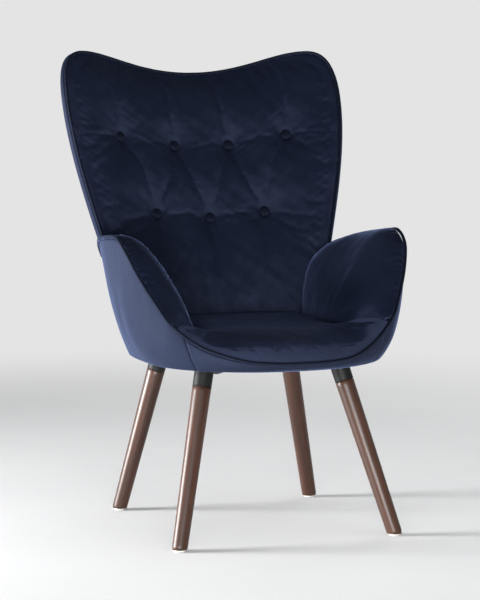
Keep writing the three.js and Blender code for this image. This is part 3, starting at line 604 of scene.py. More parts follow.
class Finish:
    """A material with a Principled shader, and short ways to add and join its nodes."""

    def __init__(self, name, **sockets):
        self.material = bpy.data.materials.new(name)
        self.material.use_nodes = True
        self.tree = self.material.node_tree
        self.shader = self.tree.nodes["Principled BSDF"]
        for socket, value in sockets.items():
            self.shader.inputs[socket.replace("_", " ")].default_value = value
        self.place = self.add("ShaderNodeTexCoord").outputs["Object"]

    def add(self, kind, inputs=(), **settings):
        node = self.tree.nodes.new(kind)
        for key, value in settings.items():
            setattr(node, key, value)
        for key, value in dict(inputs).items():
            if isinstance(value, bpy.types.NodeSocket):
                self.tree.links.new(value, node.inputs[key])
            else:
                node.inputs[key].default_value = value
        return node

    def noise(self, scale, detail=2.0, roughness=0.5, stretch=(1, 1, 1)):
        mapping = self.add("ShaderNodeMapping", {"Vector": self.place, "Scale": stretch})
        settings = {"Vector": mapping.outputs[0], "Scale": scale, "Detail": detail,
                    "Roughness": roughness}
        return self.add("ShaderNodeTexNoise", settings).outputs["Fac"]

    def ramp(self, factor, *stops):
        node = self.add("ShaderNodeValToRGB", {"Fac": factor})
        elements = node.color_ramp.elements
        while len(elements) < len(stops):
            elements.new(0.5)
        for element, (position, color) in zip(elements, stops):
            element.position = position
            element.color = (*color, 1) if len(color) == 3 else color
        return node.outputs["Color"]

    def grey(self, factor, *stops):
        return self.ramp(factor, *[(at, (value,) * 3) for at, value in stops])

    def mix(self, factor, a, b, blend="MIX"):
        node = self.add("ShaderNodeMix", data_type="RGBA", blend_type=blend)
        for index, value in ((0, factor), (6, a), (7, b)):
            if isinstance(value, bpy.types.NodeSocket):
                self.tree.links.new(value, node.inputs[index])
            else:
                node.inputs[index].default_value = value if index == 0 else (*value, 1)
        return node.outputs[2]

    def math(self, operation, a, b=0.0):
        return self.add("ShaderNodeMath", {0: a, 1: b}, operation=operation).outputs[0]

    def bump(self, height, strength, distance, under=None):
        inputs = {"Height": height, "Strength": strength, "Distance": distance}
        if under is not None:
            inputs["Normal"] = under
        return self.add("ShaderNodeBump", inputs).outputs["Normal"]

    def drive(self, socket, value):
        self.tree.links.new(value, self.shader.inputs[socket])

    def paint(self, pattern, low, high, rough, stops=(0.3, 0.7)):
        """Colour and roughness that follow a pattern."""
        self.drive("Base Color", self.ramp(pattern, (stops[0], low), (stops[1], high)))
        self.drive("Roughness", self.grey(pattern, (0.3, rough[0]), (0.7, rough[1])))


def shaded(color, share):
    return tuple(min(1, channel * share) for channel in color)


BACKGROUND = (0.775, 0.775, 0.775)
FLOOR_FADE = (1.3, 3.2)

# The deepest navy below is both dark nap and painted shade on up-facing velvet; the lightest is
# both brushed nap and painted light on down-facing velvet.
NAVY_DEEP_AND_SHADED = (0.0016, 0.0028, 0.0078)
NAVY = (0.0042, 0.0068, 0.0165)
NAVY_BRUSHED_AND_LIT = (0.0135, 0.018, 0.036)


def velvet(name, nap=1.0, tone=1.0, sheen=0.22, painted_shade_up=0.95, painted_light_up=-0.15):
    """Short-pile navy velvet, lying in soft patches and brush strokes of its nap. Its colour also
    holds painted light and shade, as from a low light in front: painted light where it faces
    down and painted shade where it faces up. The last two arguments are the normal's Z at
    which the painted shade and the painted light are full."""
    finish = Finish(name, Roughness=0.8, Specular_IOR_Level=0.05, Sheen_Weight=sheen,
                    Sheen_Roughness=0.24, Sheen_Tint=(0.36, 0.5, 1.0, 1.0))
    patches = finish.noise(5.5, 4, 0.62, (1, 1, 0.55))
    strokes = finish.noise(30, 4, 0.7, (1, 1, 0.35))
    pile = finish.noise(1700, 2, 0.6)
    speckle = finish.noise(420, 3, 0.7)
    brushed = finish.mix(0.35, patches, strokes)
    # Painted light and shade: the surface's facing drives the colour, lighter facing down and
    # darker facing up.
    normal = finish.add("ShaderNodeNewGeometry").outputs["Normal"]
    up = finish.add("ShaderNodeSeparateXYZ", {0: normal}).outputs["Z"]
    painted_light_facing_down = finish.add("ShaderNodeMapRange", {
        "Value": up, "From Min": painted_shade_up, "From Max": painted_light_up, "To Min": 0.0, "To Max": 1.0,
    }).outputs[0]
    # Painted light and shade by facing, with the nap's patches and strokes mixed in, picks the
    # colour from the ramp below.
    painted_light_and_nap = finish.math("ADD", finish.math("MULTIPLY", painted_light_facing_down, 0.62),
                        finish.math("MULTIPLY", brushed, 0.26 * nap))
    deep, plain, light = (shaded(color, tone) for color in (NAVY_DEEP_AND_SHADED, NAVY, NAVY_BRUSHED_AND_LIT))
    color = finish.ramp(painted_light_and_nap, (0.12, deep), (0.45, plain), (0.62, light))
    grain = finish.grey(speckle, (0.3, 0.72), (0.7, 1.25))
    finish.drive("Base Color", finish.mix(1.0, color, grain, "MULTIPLY"))
    finish.drive("Roughness", finish.grey(brushed, (0.3, 0.92), (0.7, 0.62)))
    creases = finish.noise(30, 5, 0.6, (1, 1, 0.6))
    under = finish.bump(creases, 0.22, 0.006)
    finish.drive("Normal", finish.bump(pile, 0.35, 0.0006, under))
    return finish.material


def walnut(name):
    """Walnut-stained turned hardwood under satin lacquer; the grain runs along local Z."""
    finish = Finish(name, Specular_IOR_Level=0.3, Coat_Weight=0.1, Coat_Roughness=0.3)
    wander = finish.noise(9, 3, 0.55, (1, 1, 0.12))
    streaks = finish.noise(60, 6, 0.68, (1, 1, 0.035))
    pores = finish.noise(420, 3, 0.6, (1, 1, 0.03))
    grain = finish.mix(0.4, streaks, wander)
    color = finish.ramp(grain, (0.33, (0.018, 0.008, 0.0055)), (0.48, (0.04, 0.0165, 0.01)),
                        (0.6, (0.064, 0.025, 0.014)), (0.72, (0.1, 0.04, 0.022)))
    dark = finish.grey(pores, (0.38, 0.55), (0.5, 1.0))
    finish.drive("Base Color", finish.mix(0.8, color, dark, "MULTIPLY"))
    finish.drive("Roughness", finish.grey(streaks, (0.3, 0.5), (0.7, 0.34)))
    finish.drive("Normal", finish.bump(pores, 0.12, 0.0008))
    return finish.material


def plywood(name, tint):
    """Pale wood, its grain along local X."""
    finish = Finish(name, Specular_IOR_Level=0.3)
    grain = finish.noise(40, 6, 0.65, (0.08, 1, 1))
    finish.paint(grain, tint, shaded(tint, 1.25), (0.8, 0.65))
    finish.drive("Normal", finish.bump(finish.noise(500, 3, 0.6, (0.06, 1, 1)), 0.2, 0.001))
    return finish.material


def coated_metal(name, color, metallic, roughness, wear):
    """Satin or powder-coated steel with slight mottling."""
    finish = Finish(name, Metallic=metallic, Specular_IOR_Level=0.18)
    cloud = finish.noise(55, 5, 0.6)
    finish.paint(cloud, color, shaded(color, wear), (roughness - 0.06, roughness + 0.08),
                 (0.35, 0.68))
    finish.drive("Normal", finish.bump(finish.noise(900, 2, 0.5), 0.12, 0.0004))
    return finish.material


def lining_cloth(name):
    """Black non-woven lining, with its pressed grid of dots."""
    finish = Finish(name, Specular_IOR_Level=0.25)
    dots = finish.add("ShaderNodeTexVoronoi", {"Vector": finish.place, "Scale": 420.0,
                                               "Randomness": 0.15}).outputs["Distance"]
    cloud = finish.noise(26, 5, 0.6)
    finish.paint(cloud, (0.008, 0.008, 0.009), (0.022, 0.022, 0.024), (0.95, 0.8))
    finish.drive("Normal", finish.bump(dots, 0.4, 0.0006))
    return finish.material


def moulded(name, color):
    """Pale moulded nylon with a fine spark texture."""
    finish = Finish(name, Specular_IOR_Level=0.4, Subsurface_Weight=0.05)
    cloud = finish.noise(120, 3, 0.5)
    finish.paint(cloud, shaded(color, 0.85), color, (0.42, 0.58))
    finish.drive("Normal", finish.bump(finish.noise(1600, 2, 0.5), 0.15, 0.0003))
    return finish.material


def studio_floor(name):
    """A pale studio floor that fades, away from the chair, into the studio's background."""
    finish = Finish(name, Specular_IOR_Level=0.15)
    cloud = finish.noise(3, 3, 0.5)
    finish.paint(cloud, (0.69, 0.69, 0.692), (0.71, 0.71, 0.71), (0.85, 0.9))
    away = finish.add("ShaderNodeVectorMath", {0: finish.place}, operation="LENGTH")
    far = finish.add("ShaderNodeMapRange", {
        "Value": away.outputs["Value"], "From Min": FLOOR_FADE[0], "From Max": FLOOR_FADE[1],
    }, interpolation_type="SMOOTHSTEP").outputs[0]
    glow = finish.add("ShaderNodeEmission", {"Color": (*BACKGROUND, 1)}).outputs[0]
    mixed = finish.add("ShaderNodeMixShader", {0: far, 1: finish.shader.outputs[0], 2: glow})
    output = finish.tree.nodes["Material Output"]
    finish.tree.links.new(mixed.outputs[0], output.inputs["Surface"])
    return finish.material


VELVET = velvet("velvet")
# A lighter copy of the velvet for the seat, its painted light and shade moved so that the front
# roll is painted light and the flat middle painted dark.
VELVET_SEAT_LIT = velvet("velvet_seat_lit", tone=1.45, sheen=0.07, painted_shade_up=0.985, painted_light_up=0.86)
# A darker copy of the velvet for the welts and buttons: painted shade, as falls in the grooves and
# dimples they sit in.
VELVET_TRIM_SHADED = velvet("velvet_trim", nap=0.8, tone=0.55, sheen=0.18)
WALNUT = walnut("walnut")
PLYWOOD = plywood("plywood", (0.52, 0.34, 0.18))
TIMBER = plywood("frame_timber", (0.5, 0.37, 0.21))
GUNMETAL = coated_metal("gunmetal", (0.007, 0.0075, 0.0075), 0.15, 0.5, 1.5)
BLACK_STEEL = coated_metal("black_steel", (0.012, 0.012, 0.013), 0.2, 0.5, 1.6)
ZINC = coated_metal("zinc_steel", (0.5, 0.5, 0.52), 0.95, 0.34, 1.15)
LINING = lining_cloth("lining")
NYLON = moulded("glide_plastic", (0.62, 0.6, 0.55))


def finished(piece, slot, *nodes, fill=None):
    """Rides the piece on the chair and hides the nodes it stands for; its slot is not used."""
    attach(piece, "root")
    if nodes:
        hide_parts(*nodes)
    return piece


# ---- The back ---------------------------------------------------------------------------

BUTTONS = 7
BUTTON_CROWN = 5 * MM


def button_places():
    """X, Z and depth of each tuft button's widest part."""
    places = []
    for number in range(1, BUTTONS + 1):
        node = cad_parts[f"tuft_button_{number}"]
        points = points_of(node)
        normal = back_normal(points[:, 0].mean())
        apex = points[np.argmin(points @ normal)]
        x, z, depth = (value[0] for value in on_back(apex[None]))
        places.append((x, z, depth + BUTTON_CROWN))
    return places


BUTTON_PLACES = button_places()
DIMPLE_FLAT = 9.5 * MM
DIMPLE_SPREAD = 24 * MM


def along_line(x, z, line):
    """Distance across a bent line, and how far along it each place is, from 0 to 1."""
    line = np.asarray(line, float)
    best, share = np.full(len(x), np.inf), np.zeros(len(x))
    lengths = np.linalg.norm(np.diff(line, axis=0), axis=1)
    total, before = lengths.sum(), 0.0
    for a, b, length in zip(line, line[1:], lengths):
        t = np.clip(((x - a[0]) * (b - a)[0] + (z - a[1]) * (b - a)[1]) / length**2, 0, 1)
        away = np.hypot(x - a[0] - t * (b - a)[0], z - a[1] - t * (b - a)[1])
        nearer = away < best
        best = np.where(nearer, away, best)
        share = np.where(nearer, (before + t * length) / total, share)
        before += length
    return best, share


def button_at(number):
    x, z, _ = BUTTON_PLACES[number - 1]
    return np.array([x, z])


def pleats():
    """Soft folds on the back: bent lines in X and Z, depth, width and how fast each fades."""
    ul, uml, umr, ur, ll, lm, lr = (button_at(n) for n in range(1, BUTTONS + 1))
    top = TOP - TOP_DIP
    return [
        ([ul, ul + (-8 * MM, 62 * MM), (-0.2, TOP - 30 * MM)], 3.4, 9, 0.8),
        ([ur, ur + (8 * MM, 62 * MM), (0.2, TOP - 30 * MM)], 3.4, 9, 0.8),
        ([ul, lerp(ul, ll, 0.5) + (9 * MM, 8 * MM), ll], 3.2, 9, 0.0),
        ([ur, lerp(ur, lr, 0.5) + (-9 * MM, 8 * MM), lr], 2.6, 9, 0.0),
        ([uml, lerp(uml, ll, 0.5) + (6 * MM, 0), ll], 2.8, 9, 0.2),
        ([umr, lerp(umr, lr, 0.5) + (-6 * MM, 0), lr], 2.2, 9, 0.2),
        ([uml, lerp(uml, lm, 0.5), lm], 1.6, 11, 0.2),
        ([umr, lerp(umr, lm, 0.5), lm], 1.6, 11, 0.2),
        ([uml, uml + (-4 * MM, 70 * MM), (-0.08, top - 25 * MM)], 1.8, 9, 1.2),
        ([umr, umr + (-6 * MM, 60 * MM), (0.05, top - 25 * MM)], 2.2, 9, 1.2),
        ([ll, ll + (8 * MM, -50 * MM), ll + (16 * MM, -120 * MM)], 2.8, 10, 1.2),
        ([lr, lr + (-8 * MM, -50 * MM), lr + (-16 * MM, -120 * MM)], 2.4, 10, 1.2),
        ([lm, lm + (2 * MM, -60 * MM), lm + (6 * MM, -120 * MM)], 1.8, 11, 1.4),
    ]


def wing_seams():
    """The level seam across each wing, from the edge to the outer button of the upper row."""
    right = button_at(4)
    edge = np.array([WING_HALF_WIDTH + 5 * MM, right[1] + 12 * MM])
    near = right + (BUTTON_RADIUS + 8 * MM, 3 * MM)
    return [[near, edge], [near * (-1, 1), edge * (-1, 1)]]


def tufting(x, z):
    """How far the face is drawn in at each place by the buttons, pleats and seams."""
    drawn = np.zeros(len(x))
    for bx, bz, _ in BUTTON_PLACES:
        away = np.hypot(x - bx, z - bz)
        floor = BUTTON_SINK + 2.4 * MM
        dip = floor * np.exp(-((np.maximum(away - DIMPLE_FLAT, 0) / DIMPLE_SPREAD) ** 0.85))
        drawn = np.maximum(drawn, dip) + 0.25 * np.minimum(drawn, dip)
    for line, depth, width, fade in pleats():
        away, share = along_line(x, z, line)
        ends = (1 - share) ** fade if fade > 0 else 0.45 + 0.55 * np.abs(2 * share - 1)
        valley = np.exp(-np.abs(away) / (width * MM))
        ridge = 0.35 * np.exp(-(((away - 2.2 * width * MM) / (width * MM)) ** 2))
        drawn += depth * MM * ends * (valley - ridge)
    return drawn


def seam_groove(x, z):
    groove = np.zeros(len(x))
    for line in wing_seams():
        away, _ = along_line(x, z, line)
        groove = np.maximum(groove, np.exp(-((away / (1.8 * MM)) ** 2)))
    return 1.3 * MM * groove


PAD_INSET = 2 * WELT_RADIUS + WELT_GROOVE


def pad_rings(shares, rear_depth_at):
    """Closed rings of the back pad, centre of the face to centre of the rear."""
    face = [back_ring(share, PAD_INSET, pad_depth(share)) for share in shares]
    return face + [back_ring(share, PAD_INSET, rear_depth_at(share)) for share in shares[::-1]]


def on_pad(points):
    """X, Z and share of places on the back pad, and 1 on its face, fading to 0 behind it."""
    x, z, depth = on_back(points)
    share = back_share(x, z)
    return x, z, share, 1 - smoothstep(depth - pad_depth(share), 1 * MM, 8 * MM)


def held_back(points):
    """Pins the rear, the edge and the buttons of the back pad."""
    x, z, depth = on_back(points)
    share = back_share(x, z)
    front = pad_depth(share) + tufting(x, z)
    held = np.maximum(smoothstep(depth - front, 3 * MM, 6 * MM), smoothstep(share, 0.9, 0.97))
    for bx, bz, _ in BUTTON_PLACES:
        held = np.maximum(held, 1 - smoothstep(np.hypot(x - bx, z - bz), 13 * MM, 20 * MM))
    return held


def shaped_back(points, detail):
    """Draws the pad's face in at the buttons, and rolls its edge down to the welt."""
    x, z, share, front = on_pad(points)
    drawn = tufting(x, z) * (1 - smoothstep(share, 0.9, 0.985))
    if detail:
        drawn += seam_groove(x, z)
        drawn += 0.5 * MM * waves(points, 70, 11) + 0.35 * MM * waves(points, 170, 12)
    drawn += 2.6 * MM * smoothstep(share, 0.945, 1.0) ** 2
    return points + back_normal(x) * (drawn * front)[:, None]


def make_back_pad():
    shares = np.concatenate([np.linspace(0, 0.9, 105), np.linspace(0.9, 1, 26)[1:]])
    rings = pad_rings(shares, lambda share: layer_depth(PAD_REAR, share))
    piece = stack("back_pad", rings, VELVET)
    rest = points_of(piece)
    coarse = pad_rings(np.linspace(0, 1, 24), lambda share: pad_depth(share) + SIM_THICKNESS)
    sim = stack("back_sim", coarse, VELVET)
    subdivide_sim(sim)
    set_points(sim, shaped_back(points_of(sim), detail=False))
    shaped = shaped_back(rest, detail=True)
    *_, front = on_pad(rest)
    shift = cloth_shift(shaped_back(rest, detail=False), sim, held_back, cap=7 * MM,
                        voxel=6 * MM, slack=0.014)
    set_points(piece, shaped + shift * front[:, None])
    return finished(piece, "velvet", "back_cover_inner", "back_foam", fill=0.6)


def subdivide_sim(sim):
    sim.modifiers.new("finer", "SUBSURF").subdivision_type = "SIMPLE"
    apply_modifiers(sim)


def make_button(number, place):
    """A button covered in velvet: a low dome, its cover gathered under the rim."""
    x, z, depth = np.array(place)
    folds = 13 + number % 3

    def gathers(angle, radius, height):
        rim = smoothstep(radius, 0.6 * BUTTON_RADIUS, BUTTON_RADIUS)
        rim *= smoothstep(-height, -1, 1.2 * MM)
        ripple = np.sin(folds * angle + number)
        return 0.28 * MM * rim * ripple, 0.12 * MM * ripple * rim

    dome = [(0, BUTTON_CROWN)]
    for angle in np.linspace(0, math.pi / 2, 15)[1:]:
        dome.append((BUTTON_RADIUS * math.sin(angle) ** 0.9, BUTTON_CROWN * math.cos(angle) ** 0.8))
    dome += [(BUTTON_RADIUS - 0.3 * MM, -0.6 * MM), (BUTTON_RADIUS - 1.2 * MM, -1.2 * MM),
             (BUTTON_RADIUS - 3 * MM, -1.5 * MM), (0, -1.5 * MM)]
    piece = stack(f"button_{number}", lathe_rings(dome, 72, gathers), VELVET_TRIM_SHADED)
    piece.matrix_world = standing(back_point(x, z, depth), -back_normal(x))
    return finished(piece, "velvet_trim", f"tuft_button_{number}")


BACK_COVER_TO_ARM = 3.8 * MM
COVER_EDGE_RADIUS = 5 * MM
TUCK_INSET = 3 * MM


def make_back_cover():
    """The velvet over the back's rear, with its edge band up to the welt."""
    shares = np.concatenate([np.linspace(0, 0.9, 40), np.linspace(0.9, 1, 10)[1:]])
    rear_edge = layer_depth(OUTER_COVER_REAR, 1)
    rings = [back_ring(s, COVER_EDGE_RADIUS, layer_depth(OUTER_COVER_REAR, s)) for s in shares]
    for angle in np.linspace(0, math.pi / 2, 7)[1:]:
        rings.append(back_ring(1, COVER_EDGE_RADIUS * (1 - math.sin(angle)),
                               rear_edge - COVER_EDGE_RADIUS * (1 - math.cos(angle))))
    front = WELT_DEPTH + WELT_RADIUS - 0.4 * MM
    for depth, inset in ((12, 0), (9, 0.1), (7, 0.6), (5.9, 1.5), (front / MM, TUCK_INSET / MM)):
        rings.append(back_ring(1, inset * MM, depth * MM))
    rings.append(back_ring(1, TUCK_INSET + OUTER_COVER_THICKNESS, front + 1 * MM))
    rings.append(back_ring(1, OUTER_COVER_THICKNESS, 9.5 * MM))
    inner = [back_ring(s, OUTER_COVER_THICKNESS + TUCK_INSET,
                       layer_depth(OUTER_COVER_REAR, s) - OUTER_COVER_THICKNESS) for s in shares]
    piece = stack("back_rear_cover", rings + inner[::-1], VELVET)
    points = points_of(piece)
    x, z, _ = on_back(points)
    share = back_share(x, z)
    slack = 1 - smoothstep(share, 0.8, 1)
    swell = (0.9 * waves(points, 16, 21) + 0.4 * waves(points, 60, 22)) * MM * slack
    beside_arm = smoothstep(share, 0.93, 1)
    beside_arm *= 1 - smoothstep(z, BASE + ARM_REAR_RISE - 40 * MM, BASE + ARM_REAR_RISE)
    points[:, 0] += np.sign(points[:, 0]) * BACK_COVER_TO_ARM * beside_arm
    set_points(piece, points + back_normal(x) * swell[:, None])
    return finished(piece, "velvet", "back_cover_outer")


def make_welt(name, path, seed, node):
    """A welt along a path, very slightly uneven."""
    piece = tube(name, path, WELT_RADIUS, VELVET_TRIM_SHADED)
    points = points_of(piece)
    set_points(piece, points + 0.12 * MM * waves(points, 260, seed)[:, None])
    return finished(piece, "velvet_trim", node)


def make_back_welt():
    rim = HALF_EDGE[HALF_EDGE[:, 1] > BASE + BACK_WELT_START_RISE]
    line = np.concatenate([rim, rim[::-1][1:] * (-1, 1)])
    normals = edge_normals(line)
    normals[0], normals[-1] = normals[1], normals[-2]
    inner = resampled(line - normals * WELT_RADIUS, 420)
    path = back_point(inner[:, 0], inner[:, 1], np.full(len(inner), WELT_DEPTH))
    make_welt("back_welt_piping", path, 31, "back_welt")


# ---- The tub ----------------------------------------------------------------------------

HEM_RADIUS = 3 * MM
COVER_TOP_DROP = 3.4 * MM


def hem(s, seam, depth):
    """The rows of a cover that turn under at its foot, at a depth inside its outer face."""
    radius = HEM_RADIUS - depth
    return [tub_face(s, np.full(len(s), BASE + HEM_RADIUS - radius * math.sin(angle)),
                     seam + depth + radius * (1 - math.cos(angle)))
            for angle in np.linspace(0, math.pi, 9)[1:]]


def tub_cover(name, s, rows):
    """A cover over the stations s of the tub: tucked under the welt, hemmed under at its foot,
    and drawn in slightly at its upright seams."""
    ends = rim_at(s)
    lengths = np.concatenate([[0], np.cumsum(np.linalg.norm(np.diff(ends, axis=0), axis=1))])
    to_seam = np.minimum(lengths, lengths[-1] - lengths)
    seam = 1.3 * MM * np.exp(-to_seam / (2.2 * MM))
    top = ends[:, 2] - COVER_TOP_DROP
    columns = []
    for share in np.linspace(0, 1, rows):
        z = lerp(top, BASE + HEM_RADIUS, share)
        tuck = 3 * MM * np.exp(-(top - z) / (2.5 * MM))
        columns.append(tub_face(s, z, seam + tuck))
    outer = np.stack(columns + hem(s, seam, 0), axis=1)
    inner = outer - outward_at(s)[:, None, :] * OUTER_COVER_THICKNESS
    inner[:, rows:] = np.stack(hem(s, seam, OUTER_COVER_THICKNESS), axis=1)
    return wall(name, outer, inner, VELVET)


def drape(piece, seed, amount=1.0):
    """Slight slackness of taut velvet."""
    points = points_of(piece)
    flat = points * (1, 1, 0.6)
    swell = (0.55 * waves(flat, 26, seed) + 0.3 * waves(flat, 90, seed + 1)) * MM * amount
    centre = np.array([0, RIM_FRONT * 0.2, BASE])
    outward = unit((points - centre) * (1, 1, 0))
    above = smoothstep(points[:, 2], BASE + 4 * MM, BASE + 25 * MM)
    set_points(piece, points + outward * (swell * above)[:, None])


def make_tub_covers():
    front = tub_cover("front_band", np.linspace(-SEAM, SEAM, 150), 14)
    drape(front, 41, 0.5)
    finished(front, "velvet", "front_cover")
    for side, flip, seed in (("left", -1, 43), ("right", 1, 47)):
        stations = flip * np.linspace(SEAM + 0.02, STATIONS, 170)
        cover = tub_cover(f"arm_outside_{side}", stations, 64)
        drape(cover, seed)
        finished(cover, "velvet", f"arm_cover_outer_{side}")


def make_tub_welt():
    path = resampled(rim_at(np.linspace(-STATIONS, STATIONS, 600)), 620)
    make_welt("tub_welt_piping", path, 33, "tub_welt")


ARM_START = ARM_TIP + 0.12
ARM_FOOT_UNDER_SEAT = 1.05
ARM_GRID = (150, 84)
ARM_SIM_GRID = (60, 34)
BURIED = 6 * MM


def arm_ends(shares):
    """The station at which each row of the arm pad runs into the back, or its last station."""
    s = np.linspace(ARM_TIP + 2, STATIONS, 500)
    ends = []
    for v in shares:
        face = arm_face(s, np.full(len(s), v), 0)
        x, z, depth = on_back(face)
        share = back_share(x, z)
        inside = (share < 1.0) & (depth - pad_depth(share) > BURIED)
        ends.append(s[np.argmax(inside)] if inside.any() else STATIONS)
    ends = np.array(ends)
    kernel = np.exp(-(np.linspace(-2, 2, 9) ** 2))
    padded = np.concatenate([np.full(4, ends[0]), ends, np.full(4, ends[-1])])
    return np.convolve(padded, kernel / kernel.sum(), "valid")


def arm_grid(shape, inset_at):
    """The right arm pad's face, moved into the arm by inset_at(s, v), with its s and v. shape is
    its rows and columns. It runs on a little under the seat's edge."""
    rows, columns = shape
    v = np.linspace(0, ARM_FOOT_UNDER_SEAT, columns)
    along = np.linspace(0, 1, rows)[:, None]
    s = ARM_START + (arm_ends(v)[None, :] - ARM_START) * along
    v = np.broadcast_to(v, s.shape)
    return arm_face(s, v, inset_at(s, v)), s, v


def arm_thickness(s, v):
    reach = np.linalg.norm((foot_at(s) - rim_at(s)) * (1, 1, 0), axis=-1)
    return np.minimum(11 * MM, 1.5 * MM + 0.22 * reach)


def arm_roll(s, v):
    """How far the pad's face rolls in at its borders."""
    tip = np.exp(-(s - ARM_START) / 0.05)
    return 3.6 * MM * np.exp(-v / 0.025) + 0.6 * MM * tip


def make_arm_pad(side, flip, seed):
    """The padded velvet inside of an arm, puffed by cloth, gathered along the rim in front."""
    face, s, v = arm_grid(ARM_GRID, arm_roll)
    back, _, _ = arm_grid(ARM_GRID, arm_thickness)
    piece = wall(f"arm_pad_{side}", face, back, VELVET)
    rest = points_of(piece)
    size = v.size
    sides = [arm_grid(ARM_SIM_GRID, lambda s, v: inset)[0] for inset in (1 * MM, 14 * MM)]
    sim = wall("arm_sim", *sides, VELVET)
    shift = cloth_shift(rest[:size], sim, held_arm, cap=5 * MM, voxel=5 * MM, slack=0.008)
    shift = smoothed(shift.reshape(*ARM_GRID, 3)).reshape(-1, 3)
    normals = face_normals(face)
    edge = (1 - np.exp(-v / 0.05)) * (1 - np.exp(-np.abs(1 - v) / 0.05))
    gathers = np.exp(-v / 0.13) * (1 - np.exp(-v / 0.02)) * (1 - smoothstep(s, 7, 9))
    gathers = gathers * smoothstep(s, 4.6, 5.4)
    ripple = np.sin(s * 34 + 2.5 * np.sin(s * 5 + seed)) + 0.4 * np.sin(s * 61 + seed)
    relief = 2.2 * MM * gathers * ripple + 0.6 * MM * edge * (
        waves(face.reshape(-1, 3), 60, seed).reshape(v.shape)
        + 0.5 * waves(face.reshape(-1, 3), 150, seed + 1).reshape(v.shape))
    moved = rest[:size] + shift * edge.reshape(-1, 1) + (normals * relief[..., None]).reshape(-1, 3)
    points = np.concatenate([moved, rest[size:]]) * (flip, 1, 1)
    set_points(piece, points)
    face_out(piece)
    return finished(piece, "velvet", f"arm_cover_inner_{side}", f"arm_foam_{side}", fill=0.5)


def smoothed(grid, reach=5):
    """Evens a grid of moves out along its rows and columns."""
    kernel = np.hanning(2 * reach + 1)
    kernel /= kernel.sum()
    for axis in (0, 1):
        ends = [(reach, reach) if k == axis else (0, 0) for k in range(3)]
        wide = np.pad(grid, ends, mode="edge")
        grid = np.apply_along_axis(lambda line: np.convolve(line, kernel, "valid"), axis, wide)
    return grid


def held_arm(points):
    """Pins the borders and the hidden side of the right arm pad."""
    face, s, v = arm_grid(ARM_SIM_GRID, lambda s, v: 0)
    tree = kd_tree(face.reshape(-1, 3))
    s, v = s.reshape(-1), v.reshape(-1)
    held = np.zeros(len(points))
    for i, place in enumerate(points):
        _, nearest, away = tree.find(place)
        border = min(v[nearest], 1 - v[nearest]) / 0.08
        front = (s[nearest] - ARM_START) / 0.5
        held[i] = max(1 - min(border, front), (away - 5 * MM) / (4 * MM))
    return held


def face_normals(grid):
    along = np.gradient(grid, axis=0)
    down = np.gradient(grid, axis=1)
    normal = unit(np.cross(down, along) + 1e-12)
    inward = np.array([-1, -0.2, 1])
    return normal * np.sign((normal * inward).sum(-1).mean())


# ---- The seat ---------------------------------------------------------------------------

SEAT_MIDDLE = np.array([0, FEET_Y - 60 * MM, BASE + SEAT_RISE + SEAT_CROWN])
FOAM_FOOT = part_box("seat_foam")[0].z
SEAT_FOOT_SHARE = 0.8
SEAT_SAG = 4 * MM


def seat_edge():
    """The seat's edge, right half from the front's middle to the back's, then mirrored."""
    s = np.linspace(0, ARM_TIP - 0.1, 60)
    front = rim_at(s) - outward_at(s) * (UNDER_WELT + 0.3 * MM) + (0, 0, 1 * MM)
    s = np.linspace(ARM_TIP + 0.3, STATIONS, 90)
    foot, rim = foot_at(s), rim_at(s)
    side = foot + unit((foot - rim) * (1, 1, 0)) * 0.8 * MM
    x = np.linspace(side[-1, 0], 0, 40)[1:]
    z = np.full(len(x), BASE + SEAT_RISE)
    rear = np.stack([x, back_y(x, z) + pad_depth(back_share(x, z)), z], axis=1)
    share = np.minimum(back_share(side[:, 0], side[:, 2]), 1)
    pad_y = back_y(side[:, 0], side[:, 2]) + pad_depth(share)
    side = side[side[:, 1] < pad_y - 2 * MM]
    half = resampled(np.concatenate([front, side, rear]), 260)
    return np.concatenate([half, half[-2:0:-1] * (-1, 1, 1)])


SEAT_EDGE = seat_edge()


def seat_ring(share, drop):
    if share == 0:
        return (SEAT_MIDDLE - (0, 0, drop))[None]
    ring = SEAT_MIDDLE + (SEAT_EDGE - SEAT_MIDDLE) * share
    ring[:, 2] = lerp(SEAT_MIDDLE[2], SEAT_EDGE[:, 2], share**5)
    at_front = 1 - smoothstep(SEAT_EDGE[:, 1], RIM_FRONT + 0.07, RIM_FRONT + 0.15)
    tuck = (7 * MM * (1 - at_front) + 1.5 * MM * at_front) * smoothstep(share, 0.95, 1.0) ** 2
    ring[:, 2] -= tuck + drop
    return ring


def held_seat(points):
    """Pins the seat's underside and edge."""
    rays = points[:, :2] - SEAT_MIDDLE[:2]
    edge = SEAT_EDGE[:, :2] - SEAT_MIDDLE[:2]
    angles = np.arctan2(edge[:, 1], edge[:, 0])
    order = np.argsort(angles)
    reach, rim = (
        np.interp(np.arctan2(rays[:, 1], rays[:, 0]), angles[order], values[order],
                  period=2 * math.pi)
        for values in (np.linalg.norm(edge, axis=1), SEAT_EDGE[:, 2])
    )
    share = np.linalg.norm(rays, axis=1) / reach
    top = lerp(SEAT_MIDDLE[2], rim, np.minimum(share, 1) ** 5)
    below = top - points[:, 2]
    return np.maximum(smoothstep(below, 10 * MM, 16 * MM), smoothstep(share, 0.9, 0.97))


